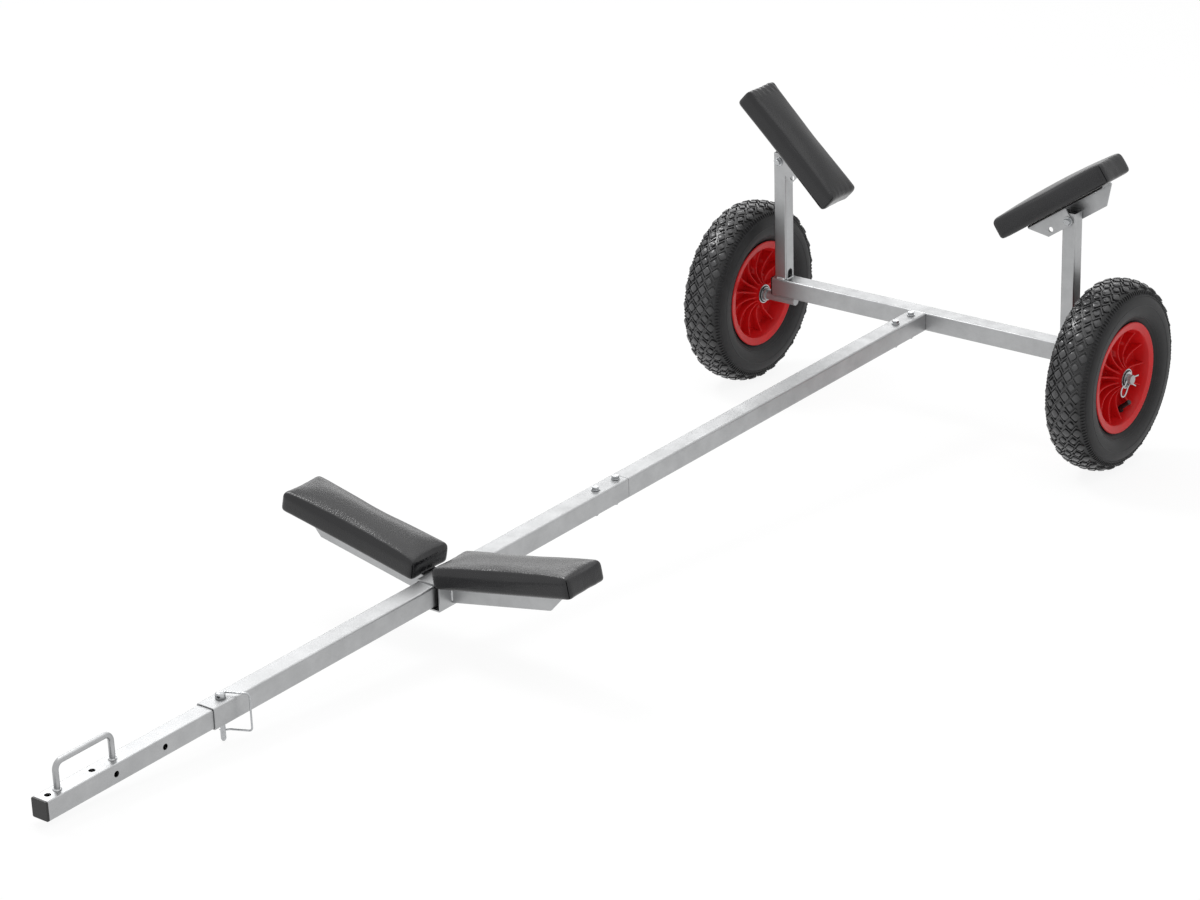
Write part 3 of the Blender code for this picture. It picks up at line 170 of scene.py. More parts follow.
SCREW_CLEARANCE = 6 * MM
BRACKET_FREE_HOLE = (0.046, 0.028)
FREE_HOLE = 0.011
BRACKET_SCREWS = (-0.078, 0.078)
SCREW_HEAD = (0.010, 0.0025)
SLEEVE_SIDE = 0.053
SLEEVE_WALL = 0.003
SLEEVE_LENGTH = 0.096
CARRIAGE_PLACE = 1.570
CARRIAGE_SLOPE = math.radians(11.3)
CARRIAGE_PLANE = 0.0086
CARRIAGE_STARTS = {-1: 0.0316, 1: 0.0158}
ARM_WALL = 0.004
ARM_SIDE = 0.036
ARM_FRONT = 0.015
ARM_REACHES = {-1: 0.305, 1: 0.281}
ARM_CHAMFER = (0.030, 0.023)
ARM_SCREWS = (0.075, 0.215)

WORDS = {-1: "left", 1: "right"}
ALONG_X = Matrix.Rotation(math.pi / 2, 4, "Y")
ALONG_FORWARD = Matrix.Rotation(math.pi / 2, 4, "X")

# The camera, in the level trolley's own directions
CAMERA_PLACE = (3.6089, -5.6938, 2.5939)
CAMERA_AHEAD = (-0.56873, 0.72209, -0.39388)
CAMERA_RIGHT = (0.79304, 0.60845, -0.02962)
CAMERA_LENS = 102.449


def joint(name):
    return next(item for item in frame["joints"] if item["name"] == name)


def standing_frame():
    """From the level trolley, whose origin is the cross beam's centre, to how it stands."""
    along = Vector(joint("rear_rest_tilt_left")["axis"])
    turn = Matrix.Rotation(math.atan2(along.z, along.y), 4, "X")
    axle = Vector(joint("wheel_left_spin")["pos_m"])
    beam = Vector((0, axle.y, axle.z)) - turn @ Vector((0, 0, AXLE_HEIGHT))
    return Matrix.Translation(beam) @ turn


STANDING = standing_frame()


def at(x, y, z, turn=None):
    """Place in the level trolley, with an optional turn."""
    return STANDING @ Matrix.Translation((x, y, z)) @ (turn or Matrix.Identity(4))


class TrolleySizes(bpy.types.PropertyGroup):
    """Sizes of the details that the frame model leaves out."""

    tread_pitches: bpy.props.IntProperty(
        name="Tread pitches",
        description="Repeats of the diamond pattern round a tyre",
        default=30,
        min=16,
        max=48,
    )
    tread_depth: bpy.props.FloatProperty(
        name="Tread depth", description="Height of a tread block", default=4.8 * MM, unit="LENGTH"
    )
    shoulder_ribs: bpy.props.IntProperty(
        name="Shoulder ribs", description="Fine ribs across each shoulder", default=150, min=40, max=240
    )
    weld_bead: bpy.props.FloatProperty(
        name="Weld bead", description="Half width of a weld bead", default=2.2 * MM, unit="LENGTH"
    )
    tube_ease: bpy.props.FloatProperty(
        name="Tube end ease", description="Rounding of a cut tube end", default=0.4 * MM, unit="LENGTH"
    )
    handle_wire: bpy.props.FloatProperty(
        name="Handle bar", description="Thickness of the tow handle's bar", default=10.5 * MM, unit="LENGTH"
    )
    clip_wire: bpy.props.FloatProperty(
        name="Clip wire",
        description="Thickness of the clips' and the bow's wire",
        default=3.5 * MM,
        unit="LENGTH",
    )
    cushion_swell: bpy.props.FloatProperty(
        name="Cushion swell",
        description="Most that a cushion's cover moves when it fills",
        default=5 * MM,
        unit="LENGTH",
    )
    cushion_pressure: bpy.props.FloatProperty(
        name="Cushion pressure", description="How hard the foam presses on its cover", default=4.0, min=0.0
    )


class TrolleyColours(bpy.types.PropertyGroup):
    """Colours of the finishes, as linear values."""

    steel: bpy.props.FloatVectorProperty(
        name="Tube steel",
        description="Zinc coated tube and plate",
        subtype="COLOR",
        default=(0.41, 0.415, 0.42),
    )
    zinc: bpy.props.FloatVectorProperty(
        name="Bright zinc", description="Bolts, pins and clips", subtype="COLOR", default=(0.46, 0.47, 0.48)
    )
    rim_red: bpy.props.FloatVectorProperty(
        name="Rim red", description="Moulded rims", subtype="COLOR", default=(0.66, 0.012, 0.014)
    )
    rubber: bpy.props.FloatVectorProperty(
        name="Rubber",
        description="Tyres, tubes and valve stems",
        subtype="COLOR",
        default=(0.022, 0.022, 0.023),
    )
    vinyl: bpy.props.FloatVectorProperty(
        name="Vinyl", description="Cushion covers", subtype="COLOR", default=(0.009, 0.009, 0.0105)
    )
    plastic: bpy.props.FloatVectorProperty(
        name="Black plastic",
        description="End caps and bushes",
        subtype="COLOR",
        default=(0.010, 0.010, 0.010),
    )
    board: bpy.props.FloatVectorProperty(
        name="Board", description="Boards under the cushions", subtype="COLOR", default=(0.030, 0.029, 0.028)
    )


class TrolleyStudio(bpy.types.PropertyGroup):
    """Floor and light of the studio."""

    floor: bpy.props.FloatVectorProperty(
        name="Floor", description="Colour of the floor", subtype="COLOR", default=(1.0, 1.0, 1.0)
    )
    shadow: bpy.props.FloatProperty(
        name="Shadow",
        description="How much of the trolley's shadow shows on the floor",
        default=0.1,
        min=0.0,
        max=1.0,
    )
    sky: bpy.props.FloatProperty(
        name="Room light", description="Light that comes from all round", default=0.5, min=0.0
    )
    lamp: bpy.props.FloatProperty(
        name="Overhead lamp", description="Power of the overhead softbox, in watts", default=60.0, min=0.0
    )
    rim_lamp: bpy.props.FloatProperty(
        name="Rear softbox",
        description="Power of the softbox behind the trolley, in watts",
        default=65.0,
        min=0.0,
    )
    key_lamp: bpy.props.FloatProperty(
        name="Key lamp",
        description="Power of the smaller softbox above the left side, in watts",
        default=74.0,
        min=0.0,
    )
    lens: bpy.props.FloatProperty(
        name="Lens", description="Focal length in millimetres", default=CAMERA_LENS, min=1.0
    )


def sizes():
    return bpy.context.scene.trolley_sizes


def colours():
    return bpy.context.scene.trolley_colours


def studio():
    return bpy.context.scene.trolley_studio


# Finishes


def blank_finish(name, colour, roughness, metallic=0.0, specular=0.5):
    """A new material with its Principled shader set."""
    finish = bpy.data.materials.new(name)
    finish.use_nodes = True
    shader = finish.node_tree.nodes["Principled BSDF"]
    shader.inputs["Base Color"].default_value = (*colour, 1.0)
    shader.inputs["Roughness"].default_value = roughness
    shader.inputs["Metallic"].default_value = metallic
    shader.inputs["Specular IOR Level"].default_value = specular
    return finish, shader


def pattern(finish, kind, scale, stretch=(1, 1, 1), **settings):
    """A noise or Voronoi pattern over the piece's own coordinates, in cycles per metre."""
    nodes = finish.node_tree.nodes
    links = finish.node_tree.links
    place = nodes.new("ShaderNodeTexCoord")
    mapping = nodes.new("ShaderNodeMapping")
    mapping.inputs["Scale"].default_value = stretch
    texture = nodes.new(kind)
    texture.inputs["Scale"].default_value = scale
    for name, value in settings.items():
        texture.inputs[name].default_value = value
    links.new(place.outputs["Object"], mapping.inputs["Vector"])
    links.new(mapping.outputs["Vector"], texture.inputs["Vector"])
    return texture


def from_axle(finish):
    """Distance from the piece's own Z axis, in metres."""
    nodes = finish.node_tree.nodes
    links = finish.node_tree.links
    place = nodes.new("ShaderNodeTexCoord")
    flat = nodes.new("ShaderNodeVectorMath")
    flat.operation = "MULTIPLY"
    flat.inputs[1].default_value = (1, 1, 0)
    length = nodes.new("ShaderNodeVectorMath")
    length.operation = "LENGTH"
    links.new(place.outputs["Object"], flat.inputs[0])
    links.new(flat.outputs["Vector"], length.inputs[0])
    return length.outputs["Value"]


def remap(finish, source, low, high, start=0.3, end=0.7):
    """Source from start to end becomes low to high."""
    node = finish.node_tree.nodes.new("ShaderNodeMapRange")
    finish.node_tree.links.new(source, node.inputs["Value"])
    for name, value in zip(("From Min", "From Max", "To Min", "To Max"), (start, end, low, high)):
        node.inputs[name].default_value = value
    return node.outputs["Result"]


def combine(finish, operation, one, two):
    """One maths step between two sockets, or a socket and a number."""
    node = finish.node_tree.nodes.new("ShaderNodeMath")
    node.operation = operation
    for socket, value in zip(node.inputs, (one, two)):
        if isinstance(value, (int, float)):
            socket.default_value = value
        else:
            finish.node_tree.links.new(value, socket)
    return node.outputs["Value"]


def shade_between(finish, factor, dark, light):
    """Colour between two by a factor."""
    node = finish.node_tree.nodes.new("ShaderNodeMix")
    node.data_type = "RGBA"
    finish.node_tree.links.new(factor, node.inputs["Factor"])
    node.inputs["A"].default_value = (*dark, 1.0)
    node.inputs["B"].default_value = (*light, 1.0)
    return node.outputs["Result"]


def connect(finish, source, shader, name):
    finish.node_tree.links.new(source, shader.inputs[name])


def raise_bump(finish, shader, height, distance, strength=1.0):
    bump = finish.node_tree.nodes.new("ShaderNodeBump")
    bump.inputs["Distance"].default_value = distance
    bump.inputs["Strength"].default_value = strength
    finish.node_tree.links.new(height, bump.inputs["Height"])
    finish.node_tree.links.new(bump.outputs["Normal"], shader.inputs["Normal"])


def scaled(colour, factor):
    return [channel * factor for channel in colour]


def mottle_colour(finish, shader, source, colour, dark, light, start=0.3, end=0.7):
    """Base colour that drifts between a darker and a lighter shade of one colour."""
    factor = remap(finish, source, 0, 1, start, end)
    tone = shade_between(finish, factor, scaled(colour, dark), scaled(colour, light))
    connect(finish, tone, shader, "Base Color")


def make_tube_steel():
    """Zinc coated tube: satin, faintly mottled, with a fine bump grain and a few duller patches."""
    colour = colours().steel
    finish, shader = blank_finish("galvanised_steel", colour, 0.40, 1.0)
    cloud = pattern(finish, "ShaderNodeTexNoise", 26, Detail=5.0, Roughness=0.6)
    flake = pattern(finish, "ShaderNodeTexVoronoi", 260)
    fine = pattern(finish, "ShaderNodeTexNoise", 1500, Detail=2.0)
    speck = remap(finish, flake.outputs["Distance"], 0, 0.12, 0, 1)
    mottle = combine(finish, "ADD", cloud.outputs["Fac"], speck)
    mottle_colour(finish, shader, mottle, colour, 0.93, 1.05, 0.35, 0.75)
    connect(finish, remap(finish, mottle, 0.45, 0.36, 0.35, 0.75), shader, "Roughness")
    raise_bump(finish, shader, fine.outputs["Fac"], 0.00004, 0.35)
    return finish


def make_bright_zinc():
    """Bright plated small parts with faint scuffs."""
    colour = colours().zinc
    finish, shader = blank_finish("bright_zinc", colour, 0.22, 1.0)
    scuff = pattern(finish, "ShaderNodeTexNoise", 320, Detail=6.0)
    mottle_colour(finish, shader, scuff.outputs["Fac"], colour, 0.82, 1.1)
    connect(finish, remap(finish, scuff.outputs["Fac"], 0.32, 0.16), shader, "Roughness")
    raise_bump(finish, shader, scuff.outputs["Fac"], 0.00012, 0.4)
    return finish


def make_axle_steel():
    """Zinc coated axle bar, dull enough to keep its own grey beside the red rims."""
    colour = scaled(colours().steel, 0.95)
    finish, shader = blank_finish("axle_steel", colour, 0.40, 0.55)
    turning = pattern(finish, "ShaderNodeTexNoise", 900, stretch=(1, 1, 6), Detail=3.0)
    mottle_colour(finish, shader, turning.outputs["Fac"], colour, 0.85, 1.1)
    raise_bump(finish, shader, turning.outputs["Fac"], 0.00008, 0.35)
    return finish


def make_weld_metal():
    """Weld beads, silvered over: a little brighter and rougher than the tube."""
    colour = scaled(colours().steel, 1.5)
    finish, shader = blank_finish("weld_metal", colour, 0.38, 1.0)
    ripple = pattern(finish, "ShaderNodeTexNoise", 700, Detail=4.0)
    mottle_colour(finish, shader, ripple.outputs["Fac"], colour, 0.75, 1.0)
    connect(finish, remap(finish, ripple.outputs["Fac"], 0.5, 0.3), shader, "Roughness")
    raise_bump(finish, shader, ripple.outputs["Fac"], 0.0004, 0.6)
    return finish


def make_rim_plastic():
    """Moulded red plastic, glossy where it is polished and softly flowed."""
    colour = colours().rim_red
    finish, shader = blank_finish("red_plastic", colour, 0.32, specular=0.22)
    flow = pattern(finish, "ShaderNodeTexNoise", 34, Detail=4.0)
    grain = pattern(finish, "ShaderNodeTexNoise", 900, Detail=3.0)
    mottle_colour(finish, shader, flow.outputs["Fac"], colour, 0.90, 1.06)
    connect(finish, remap(finish, flow.outputs["Fac"], 0.28, 0.38), shader, "Roughness")
    raise_bump(finish, shader, grain.outputs["Fac"], 0.0001, 0.25)
    return finish


def make_tyre_rubber():
    """Moulded tyre rubber: dull on the walls and shinier towards the tread, whose base colour is painted
    lighter there as sheen.
    """
    colour = colours().rubber
    finish, shader = blank_finish("tyre_rubber", colour, 0.4, specular=0.4)
    bloom = pattern(finish, "ShaderNodeTexNoise", 45, Detail=5.0)
    grain = pattern(finish, "ShaderNodeTexNoise", 1300, Detail=3.0)
    # Painted sheen: the base colour grows lighter towards the tread, standing in for the light the tread
    # catches; the bloom adds random patches.
    painted_tread_sheen = remap(finish, from_axle(finish), 0.0, 0.8, CROWN_RADIUS - 6 * MM, CROWN_RADIUS + 3 * MM)
    factor = combine(finish, "ADD", painted_tread_sheen, remap(finish, bloom.outputs["Fac"], 0, 0.25))
    tone = shade_between(finish, factor, scaled(colour, 0.75), scaled(colour, 2.6))
    connect(finish, tone, shader, "Base Color")
    gloss = remap(finish, from_axle(finish), 0.22, 0.60, CROWN_RADIUS - 16 * MM, CROWN_RADIUS)
    connect(finish, gloss, shader, "Specular IOR Level")
    sheen = remap(finish, from_axle(finish), 0.48, 0.24, CROWN_RADIUS - 16 * MM, CROWN_RADIUS)
    patchy = remap(finish, bloom.outputs["Fac"], -0.04, 0.06)
    connect(finish, combine(finish, "ADD", sheen, patchy), shader, "Roughness")
    raise_bump(finish, shader, grain.outputs["Fac"], 0.00025, 0.45)
    return finish


def make_tube_rubber():
    """Smooth butyl rubber of the inner tubes and their stems."""
    colour = scaled(colours().rubber, 0.6)
    finish, shader = blank_finish("tube_rubber", colour, 0.45)
    grain = pattern(finish, "ShaderNodeTexNoise", 700, Detail=3.0)
    connect(finish, remap(finish, grain.outputs["Fac"], 0.38, 0.55), shader, "Roughness")
    raise_bump(finish, shader, grain.outputs["Fac"], 0.0002, 0.3)
    return finish


def make_vinyl():
    """Upholstery vinyl: a leather grain of small cells, softly shiny."""
    colour = colours().vinyl
    finish, shader = blank_finish("black_vinyl", colour, 0.26, specular=0.45)
    cells = pattern(finish, "ShaderNodeTexVoronoi", 330, Randomness=0.85)
    pore = pattern(finish, "ShaderNodeTexNoise", 420, Detail=4.0)
    drift = pattern(finish, "ShaderNodeTexNoise", 22, Detail=3.0)
    pores = combine(finish, "MULTIPLY", pore.outputs["Fac"], 0.7)
    grain = combine(finish, "ADD", cells.outputs["Distance"], pores)
    mottle_colour(finish, shader, drift.outputs["Fac"], colour, 0.85, 1.2)
    connect(finish, remap(finish, grain, 0.31, 0.21, 0.3, 1.1), shader, "Roughness")
    raise_bump(finish, shader, grain, 0.0004, 0.5)
    return finish


def make_black_plastic():
    """Moulded caps and bushes with a fine spark-eroded texture."""
    colour = colours().plastic
    finish, shader = blank_finish("black_plastic", colour, 0.45)
    grain = pattern(finish, "ShaderNodeTexNoise", 1100, Detail=3.0)
    connect(finish, remap(finish, grain.outputs["Fac"], 0.38, 0.55), shader, "Roughness")
    raise_bump(finish, shader, grain.outputs["Fac"], 0.0002, 0.4)
    return finish


def make_board():
    """Black stained board with its grain drawn along it."""
    colour = colours().board
    finish, shader = blank_finish("black_board", colour, 0.78)
    grain = pattern(finish, "ShaderNodeTexNoise", 220, stretch=(0.05, 1, 1), Detail=5.0)
    mottle_colour(finish, shader, grain.outputs["Fac"], colour, 0.6, 1.4)
    raise_bump(finish, shader, grain.outputs["Fac"], 0.0004, 0.5)
    return finish


RECIPES = {
    "galvanised_steel": make_tube_steel,
    "bright_zinc": make_bright_zinc,
    "axle_steel": make_axle_steel,
    "weld_metal": make_weld_metal,
    "red_plastic": make_rim_plastic,
    "tyre_rubber": make_tyre_rubber,
    "tube_rubber": make_tube_rubber,
    "black_vinyl": make_vinyl,
    "black_plastic": make_black_plastic,
    "black_board": make_board,
}
MADE = {}


def finish_named(name):
    """Each finish is made once, and shared."""
    if name not in MADE:
        MADE[name] = RECIPES[name]()
    return MADE[name]


# Mesh helpers


def finish_mesh(obj, smooth):
    obj.data.shade_smooth()
    obj.data.set_sharp_from_angle(angle=math.radians(smooth))


def add_piece(name, bm, finish, matrix, body, stands_for=(), smooth=38.0, weighted=True):
    """Turns a closed bmesh into a piece that rides on a body of the trolley."""
    bmesh.ops.remove_doubles(bm, verts=bm.verts, dist=1e-6)
    bmesh.ops.recalc_face_normals(bm, faces=bm.faces)
    mesh = bpy.data.meshes.new(name)
    bm.to_mesh(mesh)
    bm.free()
    obj = bpy.data.objects.new(name, mesh)
    bpy.context.scene.collection.objects.link(obj)
    obj.matrix_world = matrix
    mesh.materials.append(finish_named(finish))
    finish_mesh(obj, smooth)
    if weighted:
        modifier = obj.modifiers.new("even_faces", "WEIGHTED_NORMAL")
        modifier.keep_sharp = True
    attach(obj, body)
    if stands_for:
        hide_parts(*stands_for)
    return obj


def cut(obj, cutters, smooth=38.0):
    """Cuts closed bmeshes, given in the piece's own directions, out of the piece."""
    tools = []
    for bm in cutters:
        bmesh.ops.recalc_face_normals(bm, faces=bm.faces)
        mesh = bpy.data.meshes.new("cutter")
        bm.to_mesh(mesh)
        bm.free()
        tool = bpy.data.objects.new("cutter", mesh)
        bpy.context.scene.collection.objects.link(tool)
        tool.matrix_world = obj.matrix_world
        tools.append(tool)
    kept = [modifier.name for modifier in obj.modifiers]
    obj.modifiers.clear()
    for tool in tools:
        modifier = obj.modifiers.new("cut", "BOOLEAN")
        modifier.operation = "DIFFERENCE"
        modifier.solver = "EXACT"
        modifier.object = tool
    bpy.context.view_layer.update()
    graph = bpy.context.evaluated_depsgraph_get()
    made = bpy.data.meshes.new_from_object(obj.evaluated_get(graph))
    obj.modifiers.clear()
    obj.data = made
    for tool in tools:
        bpy.data.objects.remove(tool, do_unlink=True)
    finish_mesh(obj, smooth)
    if kept:
        obj.modifiers.new("even_faces", "WEIGHTED_NORMAL").keep_sharp = True


def rounded_outline(width, height, radius, steps=6):
    """Corner-rounded rectangle, anticlockwise."""
    points = []
    for quarter, (sx, sy) in enumerate(((1, 1), (-1, 1), (-1, -1), (1, -1))):
        centre = Vector((sx * (width / 2 - radius), sy * (height / 2 - radius)))
        for step in range(steps + 1):
            angle = math.pi / 2 * (quarter + step / steps)
            points.append(centre + radius * Vector((math.cos(angle), math.sin(angle))))
    return points


def circle(diameter, steps, phase=0.0):
    angles = [2 * math.pi * step / steps + phase for step in range(steps)]
    return [Vector((math.cos(angle), math.sin(angle))) * diameter / 2 for angle in angles]


def skin(bm, loops, closed=False):
    """Quads between loops of equal length. Closed joins the last to the first, else both ends are capped."""
    count = len(loops[0])
    pairs = list(zip(loops, loops[1:]))
    if closed:
        pairs.append((loops[-1], loops[0]))
    for one, two in pairs:
        for index in range(count):
            after = (index + 1) % count
            bm.faces.new((one[index], one[after], two[after], two[index]))
    if not closed:
        bm.faces.new(loops[0])
        bm.faces.new(loops[-1])


def stacked(sections, closed=False, bm=None):
    """Skin over (outline, height) sections along Z."""
    bm = bm or bmesh.new()
    loops = []
    for outline, height in sections:
        loops.append([bm.verts.new((point[0], point[1], height)) for point in outline])
    skin(bm, loops, closed)
    return bm


def square_tube(side, wall, corner, start, end):
    """Square tube along Z: rounded corners, and ends eased as a saw and a brush leave them."""
    ease = sizes().tube_ease
    inner = rounded_outline(side - 2 * wall, side - 2 * wall, max(corner - wall, wall / 2))
    eased = rounded_outline(side - 2 * ease, side - 2 * ease, corner - ease)
    outer = rounded_outline(side, side, corner)
    sections = ((inner, start), (eased, start), (outer, start + ease))
    sections += ((outer, end - ease), (eased, end), (inner, end))
    return stacked(sections, closed=True)


def turned(profile, steps=48, closed=True, bm=None):
    """Spins a (radius, height) profile about Z. An open one starts and ends on the axis."""
    bm = bm or bmesh.new()
    rows = []
    for radius, height in profile:
        if radius < 1e-7:
            rows.append([bm.verts.new((0, 0, height))] * steps)
        else:
            rows.append([bm.verts.new((point.x, point.y, height)) for point in circle(2 * radius, steps)])
    pairs = list(zip(rows, rows[1:]))
    if closed:
        pairs.append((rows[-1], rows[0]))
    for one, two in pairs:
        for index in range(steps):
            after = (index + 1) % steps
            corners = []
            for vert in (one[index], one[after], two[after], two[index]):
                if vert not in corners:
                    corners.append(vert)
            if len(corners) > 2:
                bm.faces.new(corners)
    return bm


def drill(diameter, length, matrix, steps=32):
    """Round cutter centred on its place, along the Z of its matrix."""
    bm = stacked(((circle(diameter, steps), -length / 2), (circle(diameter, steps), length / 2)))
    bmesh.ops.transform(bm, matrix=matrix, verts=bm.verts)
    return bm


def extruded(outline, start, end, axes):
    """Solid of an outline between two places along a third axis. axes: the outline's two, then the third."""
    bm = bmesh.new()
    loops = []
    for place in (start, end):
        loop = []
        for point in outline:
            position = [0.0, 0.0, 0.0]
            for axis, value in zip(axes, (point[0], point[1], place)):
                position[axis] = value
            loop.append(bm.verts.new(position))
        loops.append(loop)
    skin(bm, loops)
    return bm


def bend_points(corner, arrive, leave, radius, steps=8):
    """Points of the arc that rounds a corner between two directions of travel."""
    arrive = Vector(arrive).normalized()
    leave = Vector(leave).normalized()
    half = arrive.angle(leave) / 2
    start = Vector(corner) - arrive * radius * math.tan(half)
    normal = (leave - arrive * leave.dot(arrive)).normalized()
    centre = start + normal * radius
    points = []
    for step in range(steps + 1):
        angle = 2 * half * step / steps
        points.append(centre - normal * radius * math.cos(angle) + arrive * radius * math.sin(angle))
    return points


def smooth_route(points, steps=5):
    """Catmull-Rom curve through the points."""
    points = [Vector(point) for point in points]
    padded = [2 * points[0] - points[1]] + points + [2 * points[-1] - points[-2]]
    route = []
    for a, b, c, d in zip(padded, padded[1:], padded[2:], padded[3:]):
        for step in range(steps):
            t = step / steps
            square = 2 * a - 5 * b + 4 * c - d
            cube = 3 * b - a - 3 * c + d
            route.append(0.5 * (2 * b + (c - a) * t + square * t * t + cube * t ** 3))
    return route + [points[-1]]


def swept(route, radii, sides=14, bm=None):
    """Round section carried along a route, with a radius at each point, closed by flat ends."""
    bm = bm or bmesh.new()
    if isinstance(radii, float):
        radii = [radii] * len(route)
    loops = []
    side = None
    for index, point in enumerate(route):
        before = route[max(index - 1, 0)]
        after = route[min(index + 1, len(route) - 1)]
        along = (Vector(after) - Vector(before)).normalized()
        side = along.orthogonal().normalized() if side is None else side
        side = (side - along * side.dot(along)).normalized()
        across = along.cross(side)
        loop = []
        for step in range(sides):
            angle = 2 * math.pi * step / sides
            reach = (side * math.cos(angle) + across * math.sin(angle)) * radii[index]
            loop.append(bm.verts.new(Vector(point) + reach))
        loops.append(loop)
    skin(bm, loops)
    return bm


def eased_wire(route, diameter, sides=14):
    """A wire whose cut ends are slightly rounded."""
    route = [Vector(point) for point in route]
    radius = diameter / 2
    for end, near in ((0, 1), (-1, -2)):
        inward = (route[near] - route[end]).normalized() * radius * 0.35
        point = route[end] + inward
        route.insert(1 if end == 0 else len(route) - 1, point)
    radii = [radius] * len(route)
    radii[0] = radii[-1] = radius * 0.72
    return swept(route, radii, sides)


def weld_bead(name, route, body, matrix, size=1.0, seed=0):
    """Rippled bead along a route, as overlapping scales."""
    radius = sizes().weld_bead * size
    points = [Vector(point) for point in route]
    dense = []
    for one, two in zip(points, points[1:]):
        count = max(2, round((two - one).length / (radius * 0.28)))
        dense += [one.lerp(two, step / count) for step in range(count)]
    dense.append(points[-1])
    radii = []
    travelled = 0.0
    for index, point in enumerate(dense):
        travelled += (point - dense[max(index - 1, 0)]).length
        scale = abs(math.sin(math.pi * travelled / (radius * 1.05)))
        wander = noise.noise(Vector((travelled * 180, seed * 7.3, 0.5)))
        end = min(index, len(dense) - 1 - index) / 3
        radii.append(radius * (0.86 + 0.16 * scale + 0.10 * wander) * min(1.0, 0.45 + 0.55 * end))
    return add_piece(name, swept(dense, radii, 10), "weld_metal", matrix, body, smooth=70.0, weighted=False)


# Tubes of the frame


class OBJECT_OT_trolley_beam(bpy.types.Operator):
    """Cross beam with its end caps and both posts"""

    bl_idname = "object.trolley_beam"
    bl_label = "Cross beam and posts"

    def execute(self, context):
        half = BEAM_LENGTH / 2
        tube = square_tube(BEAM_SIDE, BEAM_WALL, BEAM_CORNER, -half, half)
        add_piece("beam_tube", tube, "galvanised_steel", at(0, 0, 0, ALONG_X), "frame", ["cross_beam"])
        for side, word in WORDS.items():
            self.add_cap(side, word)
            self.add_post(side, word)
        return {"FINISHED"}

    def add_cap(self, side, word):
        """Plastic cap with a softly rounded flange and its plug in the tube."""
        inside = BEAM_SIDE - 2 * BEAM_WALL - 2 * SEAT_GAP
        turn = ALONG_X if side > 0 else Matrix.Rotation(-math.pi / 2, 4, "Y")
        bm = cap_mesh(BEAM_SIDE, BEAM_CORNER, inside, CAP_FLANGE)
        place = at(side * (BEAM_LENGTH / 2 + SEAT_GAP), 0, 0, turn)
        add_piece(f"beam_cap_{word}", bm, "black_plastic", place, "frame", [f"beam_end_cap_{word}"])

    def add_post(self, side, word):
        foot = BEAM_SIDE / 2 + SEAT_GAP
        tube = square_tube(POST_SIDE, POST_WALL, POST_CORNER, 0.0, POST_HEIGHT - SEAT_GAP)
        x = side * POST_SPACING / 2
        place = at(x, 0, foot)
        post = add_piece(f"post_tube_{word}", tube, "galvanised_steel", place, "frame", [f"post_{word}"])
        pivot = Matrix.Translation((0, 0, PIVOT_HEIGHT - foot)) @ ALONG_FORWARD
        high = POST_VENT[1] - POST_VENT[0] / 2
        arch = [point + Vector((0, high)) for point in circle(POST_VENT[0], 32) if point.y >= 0]
        arch += [Vector((-POST_VENT[0] / 2, -2 * MM)), Vector((POST_VENT[0] / 2, -2 * MM))]
        inner_wall = -side * POST_SIDE / 2
        vent = extruded(arch, inner_wall - POST_WALL * 2, inner_wall + POST_WALL * 2, (1, 2, 0))
        cut(post, [drill(BOLT_HOLE, POST_SIDE * 1.5, pivot), vent])
        edge = POST_SIDE / 2
        reach = edge - POST_CORNER
        for face, toward in (("front", -1), ("rear", 1)):
            route = [(-reach, toward * edge, 0.0), (reach, toward * edge, 0.0)]
            weld_bead(f"post_weld_{face}_{word}", route, "frame", place, 1.55, side * toward)
        for which, toward in (("outer", side), ("inner", -side)):
            route = [(toward * edge, -reach, 0.0), (toward * edge, reach, 0.0)]
            weld_bead(f"post_weld_{which}_{word}", route, "frame", place, 0.8, toward + 5)


def cap_mesh(side, corner, inside, flange):
    """Cap standing on z = 0 with its plug below."""
    ease = min(1.2 * MM, flange * 0.4)
    sections = (
        (rounded_outline(inside - 2 * MM, inside - 2 * MM, 1.5 * MM), -CAP_PLUG),
        (rounded_outline(inside, inside, 2 * MM), -CAP_PLUG + 2 * MM),
        (rounded_outline(inside, inside, 2 * MM), 0.0),
        (rounded_outline(side, side, corner), 0.0),
        (rounded_outline(side, side, corner), flange - ease),
        (rounded_outline(side - ease * 0.6, side - ease * 0.6, corner - ease * 0.3), flange - ease * 0.3),
        (rounded_outline(side - 2 * ease, side - 2 * ease, corner - ease), flange),
    )
    return stacked(sections)


